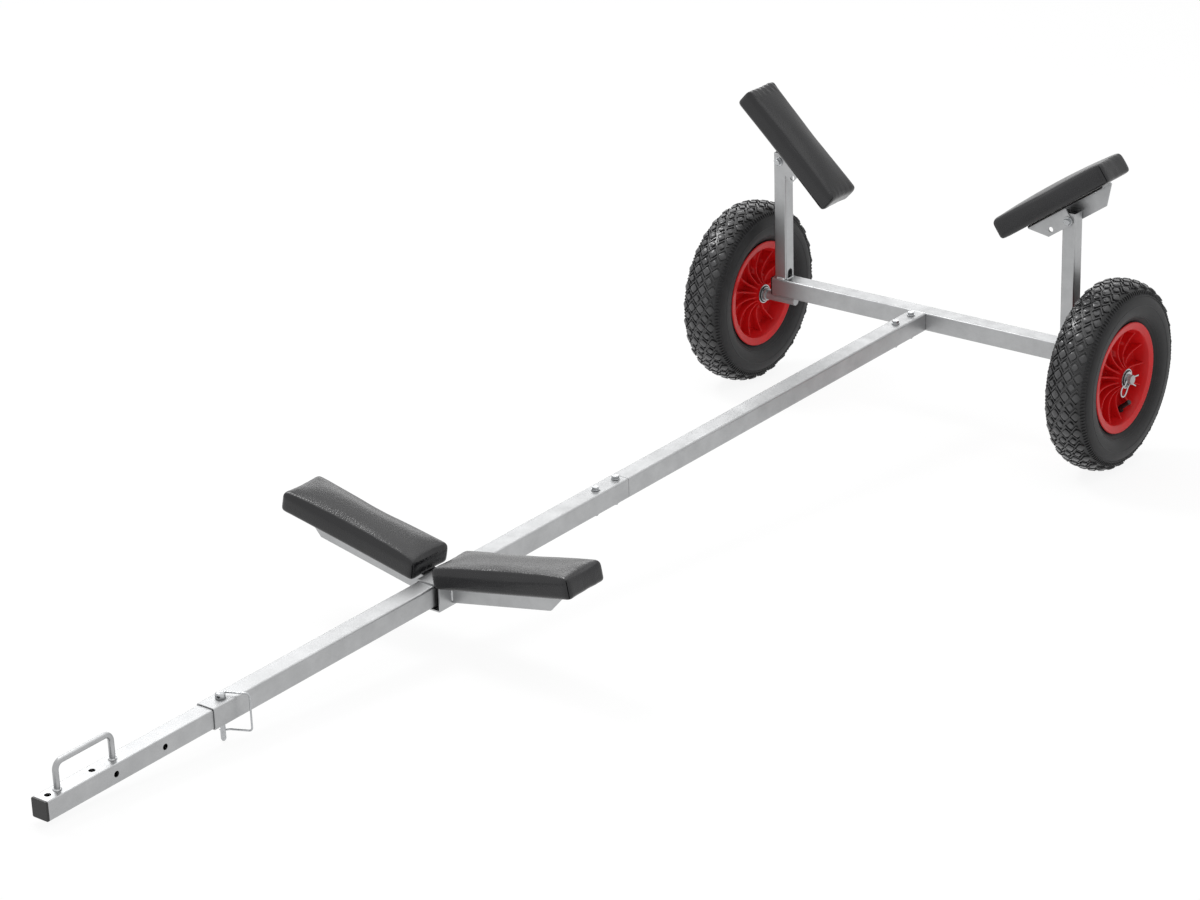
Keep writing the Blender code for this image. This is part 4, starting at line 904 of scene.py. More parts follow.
class OBJECT_OT_trolley_drawbar(bpy.types.Operator):
    """The drawbar's three visible tubes and its nose cap"""

    bl_idname = "object.trolley_drawbar"
    bl_label = "Drawbar"

    def execute(self, context):
        forward = at(0, 0, 0, ALONG_FORWARD)
        steel = "galvanised_steel"
        rear = square_tube(BAR_SIDE, BEAM_WALL, BEAM_CORNER, *REAR_BAR)
        rear = add_piece("bar_rear", rear, steel, forward, "frame", ["drawbar_rear"])
        cut(rear, self.upright(REAR_BOLTS, BOLT_HOLE))
        middle = square_tube(BAR_SIDE, BEAM_WALL, BEAM_CORNER, *MIDDLE_BAR)
        middle = add_piece("bar_middle", middle, steel, forward, "frame", ["drawbar_middle"])
        cut(middle, self.upright(JOINT_BOLTS, BOLT_HOLE) + self.upright((PIN_PLACE,), PIN_HOLE))
        front = square_tube(INNER_SIDE, INNER_WALL, 3 * MM, *FRONT_BAR)
        front = add_piece("bar_front", front, steel, forward, "frame", ["drawbar_front"])
        holes = self.upright((PIN_PLACE,), PIN_HOLE)
        for place in TOP_HOLES:
            top = Matrix.Translation((0, INNER_SIDE / 2, place)) @ ALONG_FORWARD
            holes.append(drill(TOP_HOLE, INNER_SIDE / 2, top))
        for place in SIDE_HOLES:
            beside = Matrix.Translation((INNER_SIDE / 2, 0, place)) @ ALONG_X
            holes.append(drill(SIDE_HOLE, INNER_SIDE / 2, beside))
        cut(front, holes)
        inside = INNER_SIDE - 2 * INNER_WALL - 2 * SEAT_GAP
        cap = cap_mesh(INNER_SIDE, 3 * MM, inside, NOSE_CAP)
        place = at(0, -FRONT_BAR[1] - SEAT_GAP, 0, ALONG_FORWARD)
        add_piece("nose_cap", cap, "black_plastic", place, "frame", ["front_end_cap"])
        for name in ("drawbar_spigot", "drawbar_joint_sleeve"):
            node = frame["nodes"][name]
            node.data.materials.clear()
            node.data.materials.append(finish_named(steel))
        return {"FINISHED"}

    def upright(self, places, diameter):
        """Cutters through both walls, top to bottom, of a bar whose length is Z and whose top is +Y."""
        spots = [Matrix.Translation((0, 0, place)) @ ALONG_FORWARD for place in places]
        return [drill(diameter, BAR_SIDE * 1.5, spot) for spot in spots]


# Bolts, pins and clips


def hexagon(flats, steps=24):
    """A hexagon given as many points as a circle of the same step count."""
    points = []
    for index in range(steps):
        angle = 2 * math.pi * index / steps
        offset = (angle + math.pi / 6) % (math.pi / 3) - math.pi / 6
        reach = flats / 2 / math.cos(offset)
        points.append(Vector((math.cos(angle), math.sin(angle))) * reach)
    return points


def chamfered_hexagon(flats, steps=24):
    """The hexagon where its corners are turned off."""
    limit = flats / 2 * 1.02
    return [point if point.length < limit else point.normalized() * limit for point in hexagon(flats, steps)]


def threaded(radius, start, end, pitch=1.25 * MM):
    """Thread crests and roots down a shank, as (radius, height) points."""
    count = max(1, round(abs(end - start) / pitch))
    points = []
    for index in range(count):
        low = start + (end - start) * index / count
        high = start + (end - start) * (index + 0.5) / count
        points += [(radius, low), (radius - 0.55 * MM, high)]
    return points


def through_bolt(name, nut_name, grip, place, body, bolt_node, nut_node, washer=BOLT_WASHER[0]):
    """Hex bolt with its head up and a washer below it, and the nut with its washer."""
    steps = 24
    seat = grip / 2 + SEAT_GAP
    head = seat + BOLT_WASHER[1]
    tail = head + NUT_HEIGHT + BOLT_TAIL
    shank = BOLT_DIAMETER
    ease = 0.3 * MM
    top = head + BOLT_HEAD
    sections = [
        (circle(HEX_FLATS * 0.62, steps), top - 0.25 * MM),
        (circle(HEX_FLATS * 0.70, steps), top),
        (chamfered_hexagon(HEX_FLATS * 0.95, steps), top),
        (chamfered_hexagon(HEX_FLATS, steps), top - 0.35 * MM),
        (hexagon(HEX_FLATS, steps), top - 1.1 * MM),
        (hexagon(HEX_FLATS, steps), head),
        (circle(washer - 2 * ease, steps), head),
        (circle(washer, steps), head - ease),
        (circle(washer, steps), seat + ease),
        (circle(washer - 2 * ease, steps), seat),
        (circle(shank, steps), seat),
    ]
    thread_start = -grip / 2
    for radius, height in threaded(shank / 2, thread_start, -tail + 0.6 * MM):
        sections.append((circle(2 * radius, steps), height))
    sections.append((circle(shank - 1.6 * MM, steps), -tail))
    add_piece(name, stacked(sections), "bright_zinc", place, body, [bolt_node], smooth=32.0)
    bore = shank + 2 * SEAT_GAP
    low = -head - NUT_HEIGHT
    nut_sections = (
        (circle(bore, steps), -seat),
        (circle(washer - 2 * ease, steps), -seat),
        (circle(washer, steps), -seat - ease),
        (circle(washer, steps), -head + ease),
        (circle(washer - 2 * ease, steps), -head),
        (chamfered_hexagon(HEX_FLATS, steps), -head),
        (hexagon(HEX_FLATS, steps), -head - 0.9 * MM),
        (hexagon(HEX_FLATS, steps), low + 0.9 * MM),
        (chamfered_hexagon(HEX_FLATS, steps), low + 0.2 * MM),
        (circle(HEX_FLATS * 0.86, steps), low),
        (circle(bore, steps), low),
    )
    add_piece(nut_name, stacked(nut_sections, True), "bright_zinc", place, body, [nut_node], smooth=32.0)


class OBJECT_OT_trolley_bolts(bpy.types.Operator):
    """Bolts and nuts of the drawbar and of the rests' pivots"""

    bl_idname = "object.trolley_bolts"
    bl_label = "Bolts and nuts"

    def execute(self, context):
        for number, along in enumerate(REAR_BOLTS + JOINT_BOLTS, 1):
            place = at(0, -along, 0, Matrix.Rotation(0.4 * number, 4, "Z"))
            names = (f"drawbar_bolt_{number}", f"drawbar_nut_{number}")
            through_bolt(f"bar_bolt_{number}", f"bar_nut_{number}", BAR_SIDE, place, "frame", *names)
        grip = POST_SIDE + 2 * SEAT_GAP + 2 * BRACKET_WALL
        for side, word in WORDS.items():
            turn = ALONG_FORWARD @ Matrix.Rotation(0.5 + 0.3 * side, 4, "Z")
            place = at(side * POST_SPACING / 2, 0, PIVOT_HEIGHT, turn)
            nodes = (f"rest_pivot_bolt_{word}", f"rest_pivot_nut_{word}")
            names = (f"pivot_bolt_{word}", f"pivot_nut_{word}")
            through_bolt(*names, grip, place, "frame", *nodes, PIVOT_WASHER)
        return {"FINISHED"}


class OBJECT_OT_trolley_lock_pin(bpy.types.Operator):
    """Drop pin of the telescoping front tube, with its wire bow"""

    bl_idname = "object.trolley_lock_pin"
    bl_label = "Lock pin and bow"

    def execute(self, context):
        pin_place = at(0, -PIN_PLACE, 0, Matrix.Rotation(BOW_ANGLE, 4, "Z"))
        seat = BAR_SIDE / 2 + SEAT_GAP
        head, head_height = PIN_HEAD[0] / 2, PIN_HEAD[1]
        top = seat + head_height
        tip = -BAR_SIDE / 2 - PIN_REACH
        radius = PIN_DIAMETER / 2
        wire = sizes().clip_wire
        profile = (
            (0, top),
            (head - 3.2 * MM, top),
            (head - 2.2 * MM, top - 0.5 * MM),
            (head - 0.4 * MM, top - 2.3 * MM),
            (head, top - 3.0 * MM),
            (head, seat + 0.4 * MM),
            (head - 0.4 * MM, seat),
            (radius, seat),
            (radius, tip + 4.5 * MM),
            (radius - 0.3 * MM, tip + 3.6 * MM),
            (PIN_TIP / 2 + 0.3 * MM, tip + 0.5 * MM),
            (PIN_TIP / 2 - 0.3 * MM, tip),
            (0, tip),
        )
        pin = turned(profile, 40, closed=False)
        pin = add_piece("drop_pin", pin, "bright_zinc", pin_place, "lock_pin", ["lock_pin"])
        hinge = seat + head_height * 0.5
        cross = Matrix.Translation((0, 0, hinge)) @ ALONG_FORWARD
        cut(pin, [drill(wire + 2 * RUNNING_GAP, PIN_HEAD[0] * 1.5, cross, 24)])
        ear = head + wire / 2 + RUNNING_GAP
        bend = wire * 1.6
        low = -BOW_DROP
        side = radius + wire / 2 + RUNNING_GAP
        route = [Vector((0, -head * 0.75, 0))]
        route += bend_points((0, ear, 0), (0, 1, 0), (1, 0, 0), wire * 0.9)
        route += bend_points((BOW_REACH, ear, 0), (1, 0, 0), (0, 0, -1), bend)
        route += bend_points((BOW_REACH, ear, low), (0, 0, -1), (-1, 0, 0), bend)
        route += bend_points((radius + wire * 1.2, ear, low), (-1, 0, 0), (-1, side - ear, 0), bend, 4)
        route.append(Vector((-BOW_HOOK * 0.3, side, low)))
        route.append(Vector((-BOW_HOOK, side + 1.2 * MM, low)))
        bow_place = pin_place @ Matrix.Translation((0, 0, hinge))
        add_piece("pin_bow", eased_wire(route, wire), "bright_zinc", bow_place, "lock_bow", ["lock_pin_bow"])
        return {"FINISHED"}


class OBJECT_OT_trolley_handle(bpy.types.Operator):
    """Tow handle bent from round bar, welded on the front tube"""

    bl_idname = "object.trolley_handle"
    bl_label = "Tow handle"

    def execute(self, context):
        wire = sizes().handle_wire
        foot = INNER_SIDE / 2 + SEAT_GAP
        top = foot + HANDLE_HEIGHT - wire / 2
        rear, front = (-leg for leg in HANDLE_LEGS)
        route = [Vector((0, rear, foot))]
        route += bend_points((0, rear, top), (0, 0, 1), (0, -1, 0), HANDLE_BEND)
        route += bend_points((0, front, top), (0, -1, 0), (0, 0, -1), HANDLE_BEND)
        route.append(Vector((0, front, foot)))
        bm = swept(route, wire / 2, 24)
        add_piece("handle_bar", bm, "galvanised_steel", at(0, 0, 0), "frame", ["tow_handle"])
        for word, y in (("rear", rear), ("front", front)):
            ring = [Vector((point.x, y + point.y, foot + 0.3 * MM)) for point in circle(wire * 1.02, 24)]
            weld_bead(f"handle_weld_{word}", ring + [ring[0]], "frame", at(0, 0, 0), 1.1, 3 + y)
        return {"FINISHED"}


# Axles and wheels


def axle_reach():
    """From the wheels' middle line to the outer face of the outer washer."""
    return WHEEL_TRACK / 2 + HUB_LENGTH / 2 + BUSH_COLLAR + WASHER_THICKNESS + 3 * SEAT_GAP


def inner_seat():
    """Where the axle's collar stops, inboard of the inner washer."""
    return WHEEL_TRACK / 2 - HUB_LENGTH / 2 - BUSH_COLLAR - WASHER_THICKNESS - 3 * SEAT_GAP


class OBJECT_OT_trolley_axles(bpy.types.Operator):
    """Axle stubs with their washers, clips and welds"""

    bl_idname = "object.trolley_axles"
    bl_label = "Axles, washers and clips"

    def execute(self, context):
        for side, word in WORDS.items():
            turn = Matrix.Rotation(side * math.pi / 2, 4, "Y")
            self.add_stub(word, turn)
            self.add_washers(side, word, turn)
            self.add_clip(side, word)
            edge = AXLE_DIAMETER / 2 + 0.2 * MM
            under = -BEAM_SIDE / 2 - 2.6 * MM
            for face, toward in (("front", -1), ("rear", 1)):
                y = toward * (edge - 3.2 * MM)
                ends = (AXLE_INNER_END + 2 * MM, BEAM_LENGTH / 2 - 3 * MM)
                route = [(side * x, y, under) for x in ends]
                weld_bead(f"axle_weld_{face}_{word}", route, "frame", at(0, 0, 0), 1.1, toward + 9 * side)
        return {"FINISHED"}

    def add_stub(self, word, turn):
        radius = AXLE_DIAMETER / 2
        collar, width = AXLE_COLLAR[0] / 2, AXLE_COLLAR[1]
        collar_end = inner_seat()
        end = axle_reach() + AXLE_OVERHANG
        ease = 0.6 * MM
        profile = (
            (0, AXLE_INNER_END),
            (radius - ease, AXLE_INNER_END),
            (radius, AXLE_INNER_END + ease),
            (radius, collar_end - width),
            (collar - ease, collar_end - width),
            (collar, collar_end - width + ease),
            (collar, collar_end - ease),
            (collar - ease, collar_end),
            (radius, collar_end),
            (radius, end - 1.5 * MM),
            (radius - 0.5 * MM, end - 0.6 * MM),
            (radius - 1.5 * MM, end),
            (0, end),
        )
        bm = turned(profile, 48, closed=False)
        place = at(0, 0, AXLE_HEIGHT, turn)
        stub = add_piece(f"axle_{word}", bm, "axle_steel", place, "frame", [f"axle_stub_{word}"])
        along = axle_reach() + sizes().clip_wire / 2 + SEAT_GAP
        across = Matrix.Translation((0, 0, along)) @ turn.inverted() @ ALONG_FORWARD
        cut(stub, [drill(CLIP_HOLE, AXLE_DIAMETER * 1.5, across, 24)])

    def add_washers(self, side, word, turn):
        bore = AXLE_DIAMETER / 2 + RUNNING_GAP
        outer = WASHER_DIAMETER / 2
        ease = 0.35 * MM
        ring = (
            (bore, 0),
            (outer - ease, 0),
            (outer, ease),
            (outer, WASHER_THICKNESS - ease),
            (outer - ease, WASHER_THICKNESS),
            (bore, WASHER_THICKNESS),
        )
        starts = {
            "inner": inner_seat() + SEAT_GAP,
            "outer": WHEEL_TRACK / 2 + HUB_LENGTH / 2 + BUSH_COLLAR + 2 * SEAT_GAP,
        }
        for which, start in starts.items():
            place = at(side * start, 0, AXLE_HEIGHT, turn)
            node = f"axle_washer_{which}_{word}"
            add_piece(f"washer_{which}_{word}", turned(ring, 40), "bright_zinc", place, "frame", [node])

    def add_clip(self, side, word):
        """Spring clip: a leg through the axle, a round eye below it and a leg sprung under the axle."""
        wire = sizes().clip_wire
        eye = Vector((0, -CLIP_EYE[0], -CLIP_EYE[1]))
        straight = [Vector((0, 36 * MM, -3 * MM)), Vector((0, 8 * MM, 0)), Vector((0, -8 * MM, 0))]
        ring = []
        for degrees in range(70, 350, 20):
            turn = math.radians(degrees)
            ring.append(eye + Vector((0, math.cos(turn), math.sin(turn))) * CLIP_EYE_RADIUS)
        under = -AXLE_DIAMETER / 2 - wire / 2 - SEAT_GAP
        leg = ((-2 * MM, under), (9 * MM, under - 1 * MM), (26 * MM, -23 * MM))
        sprung = [Vector((0, y, z)) for y, z in leg]
        route = smooth_route(straight + ring + sprung, 5)
        place = at(side * (axle_reach() + wire / 2 + SEAT_GAP), 0, AXLE_HEIGHT)
        bm = eased_wire(route, wire)
        add_piece(f"spring_clip_{word}", bm, "bright_zinc", place, "frame", [f"axle_clip_{word}"])


def casing_profile():
    """Half section of a tyre's outside from bead to crown, as (radius, half width) points."""
    points = (
        (0.1040, 0.0225),
        (0.1062, 0.0315),
        (0.1175, 0.0333),
        (0.1245, 0.0405),
        (0.1355, 0.0468),
        (0.1470, 0.0492),
        (0.1590, 0.0494),
        (0.1690, 0.0472),
        (0.1775, 0.0424),
        (0.1860, 0.0345),
        (0.1908, 0.0245),
        (0.1938, 0.0125),
        (CROWN_RADIUS, 0.0),
    )
    return [(point.x, point.y) for point in smooth_route([(x, y, 0) for x, y in points], 3)]


def crown_surface():
    """The casing's outside by half width, from the crown outwards, to seat the tread on."""
    profile = casing_profile()
    lengths = [0.0]
    outward = list(reversed(profile))
    for one, two in zip(outward, outward[1:]):
        lengths.append(lengths[-1] + math.dist(one, two))
    return outward, lengths


def on_casing(surface, across, lift):
    """(radius, half width) at a signed distance across the casing from the crown, lifted off it."""
    outward, lengths = surface
    reach = abs(across)
    index = next(number for number, length in enumerate(lengths) if length > reach)
    share = (reach - lengths[index - 1]) / (lengths[index] - lengths[index - 1])
    one, two = Vector(outward[index - 1]), Vector(outward[index])
    along = (two - one).normalized()
    point = one.lerp(two, share) + Vector((along.y, -along.x)) * lift
    return point.x, math.copysign(point.y, across) if across else point.y


def tread_vert(bm, surface, angle, round_it, across, lift):
    """Point on the tyre a distance round from an angle, a distance across from the crown, and lifted."""
    radius, side = on_casing(surface, across, lift)
    turn = angle + round_it / CROWN_RADIUS
    return bm.verts.new((radius * math.cos(turn), radius * math.sin(turn), side))


def add_diamond(bm, surface, angle, across, half_round, half_across, height):
    """One flat-topped diamond of tread with steep sides and its points cut off."""
    nip = 0.16
    outline = []
    for u, v in ((1, 0), (0, 1), (-1, 0), (0, -1)):
        for turn in (-nip, nip):
            along, aside = u * (1 - nip) - v * turn, v * (1 - nip) + u * turn
            outline.append((half_round * along, half_across * aside))
    rings = []
    for lift, size in ((-TREAD_ROOT, 1.0), (height - 0.4 * MM, 0.93), (height, 0.86)):
        rings.append([tread_vert(bm, surface, angle, u * size, across + v * size, lift) for u, v in outline])
    for low, high in zip(rings, rings[1:]):
        for index in range(len(outline)):
            after = (index + 1) % len(outline)
            bm.faces.new((low[index], low[after], high[after], high[index]))
    for ring, lift in ((rings[0], -TREAD_ROOT), (rings[-1], height)):
        middle = tread_vert(bm, surface, angle, 0.0, across, lift)
        for index in range(len(outline)):
            bm.faces.new((ring[index], ring[(index + 1) % len(outline)], middle))


def add_strip(bm, surface, angle, walk, half, heights):
    """One raised strip of rubber along a walk of (round, across) points, with a height at each."""
    loops = []
    for (round_it, across), height in zip(walk, heights):
        section = ((-half, -TREAD_ROOT), (-half * 0.75, height), (half * 0.75, height), (half, -TREAD_ROOT))
        loops.append([tread_vert(bm, surface, angle, round_it + u, across, lift) for u, lift in section])
    skin(bm, loops)


class OBJECT_OT_trolley_tyres(bpy.types.Operator):
    """Pneumatic tyres with diamond tread, shoulder ribs and sidewall rings"""

    bl_idname = "object.trolley_tyres"
    bl_label = "Tyres"

    def execute(self, context):
        for side, word in WORDS.items():
            place = at(side * WHEEL_TRACK / 2, 0, AXLE_HEIGHT, ALONG_X)
            tyre = self.tyre_mesh()
            body = f"wheel_{word}"
            nodes = [f"tyre_{word}"]
            add_piece(f"tyre_{word}_treaded", tyre, "tyre_rubber", place, body, nodes, 40.0, False)
        return {"FINISHED"}

    def tyre_mesh(self):
        outer = self.with_rings(casing_profile())
        section = outer + [(radius, -half) for radius, half in reversed(outer[:-1])]
        inner = [(0.1100, 0.0245), (0.1235, 0.0330), (0.1500, 0.0430), (0.1740, 0.0370), (0.1860, 0.0200)]
        section += [(radius, -half) for radius, half in inner] + list(reversed(inner))
        bm = turned(section, 144)
        surface = crown_surface()
        self.add_tread(bm, surface)
        self.add_shoulders(bm, surface)
        return bm

    def with_rings(self, profile):
        """Raised rings round the sidewall, as a mould leaves them."""
        rings = ((0.1250, 0.9 * MM), (0.1292, 0.6 * MM), (0.1525, 0.5 * MM), (0.1725, 1.3 * MM))
        finer = []
        for one, two in zip(profile, profile[1:]):
            finer.append(one)
            for radius, lift in rings:
                if one[0] < radius <= two[0] and one[0] < two[0]:
                    for offset, share in ((-1.1, 0.0), (-0.5, 1.0), (0.5, 1.0), (1.1, 0.0)):
                        spot = radius + offset * MM
                        mix = (spot - one[0]) / (two[0] - one[0])
                        finer.append((spot, one[1] + (two[1] - one[1]) * mix + lift * share))
        finer.append(profile[-1])
        return finer

    def add_tread(self, bm, surface):
        """A lattice of diamonds in staggered rows, with thin zigzag ribs between their columns."""
        count = sizes().tread_pitches
        depth = sizes().tread_depth
        pitch = 2 * math.pi / count
        steps = 3
        for index in range(count):
            for row in range(-3, 4):
                wide = row % 2
                half_round, half_across = LARGE_DIAMOND if wide else SMALL_DIAMOND
                angle = pitch * (index + (0.0 if wide else 0.5))
                add_diamond(bm, surface, angle, row * TREAD_ROW, half_round, half_across, depth)
            for side in (-1, 1):
                walk = []
                for step in range(-3 * steps - 1, 3 * steps + 2):
                    wave = 1 - 2 * abs((step / steps) % 2 - 1)
                    quarter = pitch * CROWN_RADIUS / 4
                    walk.append((side * (quarter + TREAD_SWAY * wave), step / steps * TREAD_ROW))
                add_strip(bm, surface, pitch * index, walk, TREAD_RIB_HALF, [depth * 0.7] * len(walk))

    def add_shoulders(self, bm, surface):
        """Fine ribs across each shoulder, between the tread and the ring on the sidewall."""
        count = sizes().shoulder_ribs
        reaches = [(41.5 + 2.5 * step) * MM for step in range(5)]
        heights = [1.2 * MM, 2.6 * MM, 2.4 * MM, 1.8 * MM, 0.6 * MM]
        for sign in (-1, 1):
            for index in range(count):
                walk = [(0.0, sign * reach) for reach in reaches]
                add_strip(bm, surface, 2 * math.pi * index / count, walk, TREAD_RIB_HALF, heights)


class OBJECT_OT_trolley_rims(bpy.types.Operator):
    """Moulded rims with their ribs, bushes, inner tubes and valve stems"""

    bl_idname = "object.trolley_rims"
    bl_label = "Rims, bushes and inner tubes"

    def execute(self, context):
        for side, word in WORDS.items():
            place = at(side * WHEEL_TRACK / 2, 0, AXLE_HEIGHT, ALONG_X)
            body = f"wheel_{word}"
            bm = self.rim_mesh()
            rim = add_piece(f"rim_{word}_moulding", bm, "red_plastic", place, body, [f"rim_{word}"])
            well = RIM_WELL / 2
            spot = Matrix.Translation(
                (well * math.cos(VALVE_ANGLE), well * math.sin(VALVE_ANGLE), side * VALVE_OFFSET)
            )
            hole = spot @ Matrix.Rotation(VALVE_ANGLE, 4, "Z") @ ALONG_X
            cut(rim, [drill(12 * MM, 0.030, hole)])
            self.add_inner_tube(side, word, place, body)
            self.add_bushes(side, word, place, body)
        return {"FINISHED"}

    def rim_mesh(self):
        """Turned rim with a rounded lip, and the ribs as blades on both faces of the web."""
        bore = BUSH_DIAMETER / 2 + SEAT_GAP
        flange = RIM_DIAMETER / 2
        half = RIM_WIDTH / 2
        ring = flange - RIM_RING
        well = RIM_WELL / 2
        seat_side = half - 5.5 * MM
        points = [
            (bore, HUB_LENGTH / 2),
            (HUB_DIAMETER / 2 - 1.2 * MM, HUB_LENGTH / 2),
            (HUB_DIAMETER / 2 - 0.3 * MM, HUB_LENGTH / 2 - 0.4 * MM),
            (HUB_DIAMETER / 2, HUB_LENGTH / 2 - 1.4 * MM),
            (HUB_DIAMETER / 2 + 1.2 * MM, 8 * MM),
            (HUB_DIAMETER / 2 + 3.2 * MM, 4 * MM),
            (HUB_DIAMETER / 2 + 6.5 * MM, 2.5 * MM),
            (well - 11 * MM, 2.5 * MM),
            (well - 7.5 * MM, 4 * MM),
            (well - 5 * MM, 9 * MM),
            (well - 3.5 * MM, half * 0.6),
            (ring - 0.8 * MM, half - 5 * MM),
            (ring, half - 3.2 * MM),
            (ring + 1.2 * MM, half - 2.4 * MM),
            (flange - 3.2 * MM, half - 0.3 * MM),
            (flange - 1.8 * MM, half),
            (flange - 0.6 * MM, half - 0.5 * MM),
            (flange, half - 1.5 * MM),
            (flange - 0.2 * MM, half - 2.5 * MM),
            (RIM_SEAT / 2, seat_side),
            (well, half - 18 * MM),
        ]
        profile = points + [(radius, -height) for radius, height in reversed(points)]
        bm = turned(profile, 104)
        for number in range(RIB_COUNT):
            turn = Matrix.Rotation(VALVE_ANGLE + 2 * math.pi * (number + 0.5) / RIB_COUNT, 4, "Z")
            for face in (-1, 1):
                self.add_rib(bm, turn, face)
        return bm

    def add_rib(self, bm, turn, face):
        """One closed blade whose free edge dips between hub and ring, rounded along that edge."""
        inner = HUB_DIAMETER / 2 - 2 * MM
        outer = RIM_WELL / 2 - 2 * MM
        top = HUB_LENGTH / 2 - 3 * MM
        tip = RIM_WIDTH / 2 - 12 * MM
        steps = 12
        loops = []
        for step in range(steps + 1):
            share = step / steps
            radius = inner + (outer - inner) * share
            height = top + (tip - top) * share - RIB_DIP * math.sin(math.pi * share ** 0.8)
            section = (
                (-RIB_THICKNESS * 0.62, 0.0),
                (-RIB_THICKNESS * 0.5, height - 0.9 * MM),
                (-RIB_THICKNESS * 0.3, height - 0.2 * MM),
                (0.0, height),
                (RIB_THICKNESS * 0.3, height - 0.2 * MM),
                (RIB_THICKNESS * 0.5, height - 0.9 * MM),
                (RIB_THICKNESS * 0.62, 0.0),
            )
            loops.append([bm.verts.new(turn @ Vector((radius, y, face * z))) for y, z in section])
        skin(bm, loops)

    def add_inner_tube(self, side, word, place, body):
        """The tube inside the tyre, with its bent stem and plain cap through the rim."""
        radius = RIM_WELL / 2
        section = [
            (radius + 1.2 * MM, 0.0175),
            (0.1105, 0.0210),
            (0.1300, 0.0310),
            (0.1500, 0.0380),
            (0.1720, 0.0320),
            (0.1840, 0.0150),
        ]
        profile = section + [(r, -h) for r, h in reversed(section)]
        bm = turned(profile, 60)
        corner = Vector((radius - 12 * MM, 0, side * VALVE_OFFSET))
        bend = math.radians(48.0)
        leave = Vector((-math.cos(bend), 0, side * math.sin(bend)))
        route = [Vector((radius + 6 * MM, 0, side * VALVE_OFFSET))]
        route += bend_points(corner, (-1, 0, 0), leave, 8 * MM)
        radii = [5.2 * MM] * len(route)
        stem = ((9, 5.2), (20, 4.6), (21, 3.9), (22.4, 3.9))
        valve_cap = ((22.6, 5.0), (32.6, 5.0), (33.6, 4.4), (34, 3.4))
        for reach, size in stem + valve_cap:
            route.append(corner + leave * reach * MM)
            radii.append(size * MM)
        swivel = Matrix.Rotation(VALVE_ANGLE, 4, "Z")
        swept([swivel @ point for point in route], radii, 20, bm)
        add_piece(f"tube_{word}_and_stem", bm, "tube_rubber", place, body, [f"inner_tube_{word}"])

    def add_bushes(self, side, word, place, body):
        bore = AXLE_DIAMETER / 2 + RUNNING_GAP
        outer = BUSH_DIAMETER / 2
        lip = HUB_DIAMETER / 2 - 1.6 * MM
        edge = HUB_LENGTH / 2 + SEAT_GAP
        face = edge + BUSH_COLLAR - SEAT_GAP
        profile = (
            (bore, edge - BUSH_LENGTH),
            (outer, edge - BUSH_LENGTH),
            (outer, edge),
            (lip, edge),
            (lip, face - 0.4 * MM),
            (lip - 0.4 * MM, face),
            (bore, face),
        )
        for which, toward in (("outer", 1), ("inner", -1)):
            turn = Matrix.Identity(4) if toward * side > 0 else Matrix.Rotation(math.pi, 4, "X")
            node = f"hub_bush_{which}_{word}"
            spot = place @ turn
            add_piece(f"bush_{which}_{word}", turned(profile, 40), "black_plastic", spot, body, [node])
            inner, rim = lip + 0.1 * MM, lip + 2.2 * MM
            ring = ((inner, edge), (rim, edge), (lip + 2.0 * MM, face), (inner, face))
            add_piece(f"hub_ring_{which}_{word}", turned(ring, 48), "bright_zinc", spot, body)


# Rests and carriage


def rest_place(side):
    """Place of a rear rest's pivot, X up its slope."""
    return at(side * POST_SPACING / 2, 0, PIVOT_HEIGHT, Matrix.Rotation(-side * REST_TILT[side], 4, "Y"))


def sleeve_offset():
    """How far the sleeve's centre is off the bar's, right and down."""
    return (SLEEVE_SIDE / 2 - SLEEVE_WALL) - BAR_SIDE / 2 - SEAT_GAP


def sleeve_place():
    offset = sleeve_offset()
    return at(offset, -CARRIAGE_PLACE, -offset)


def front_rest_place(side):
    """Place over the bar's centre line in the plane of a front cushion's underside, X up its slope."""
    return at(0, -CARRIAGE_PLACE, CARRIAGE_PLANE, Matrix.Rotation(-side * CARRIAGE_SLOPE, 4, "Y"))


def sleeve_block(place, gap):
    """Block that clears the sleeve's outside, in the directions of a piece at that place."""
    opening = SLEEVE_SIDE + 2 * gap
    length = SLEEVE_LENGTH + 2 * gap
    outline = rounded_outline(opening, opening, 4 * MM)
    bm = stacked(((outline, -length / 2), (outline, length / 2)))
    bmesh.ops.transform(bm, matrix=place.inverted() @ sleeve_place() @ ALONG_FORWARD, verts=bm.verts)
    return bm


def add_screws(name, places, below, matrix, body):
    """Domed screws under a board."""
    radius, height = SCREW_HEAD[0] / 2, SCREW_HEAD[1]
    bm = bmesh.new()
    for x, y in places:
        single = turned(
            (
                (0, 3 * MM),
                (2.5 * MM, 3 * MM),
                (2.5 * MM, -below),
                (radius, -below),
                (radius, -below - 0.5 * MM),
                (radius * 0.85, -below - height * 0.62),
                (radius * 0.5, -below - height * 0.95),
                (1.6 * MM, -below - height),
                (1.2 * MM, -below - height + 1.2 * MM),
                (0, -below - height + 1.2 * MM),
            ),
            24,
            closed=False,
        )
        bmesh.ops.translate(single, verts=single.verts, vec=(x, y, 0))
        mesh = bpy.data.meshes.new("screw")
        single.to_mesh(mesh)
        single.free()
        bm.from_mesh(mesh)
        bpy.data.meshes.remove(mesh)
    add_piece(name, bm, "bright_zinc", matrix, body)


def add_board(name, size, matrix, body, node):
    length = size[0] - 2 * BOARD_MARGINS[0]
    width = size[1] - 2 * BOARD_MARGINS[1]
    ease = 1.0 * MM
    outline = rounded_outline(length, width, 6 * MM)
    eased = rounded_outline(length - 2 * ease, width - 2 * ease, 5 * MM)
    sections = ((eased, 0.0), (outline, ease), (outline, BOARD_THICKNESS - ease), (eased, BOARD_THICKNESS))
    return add_piece(name, stacked(sections), "black_board", matrix, body, [node])


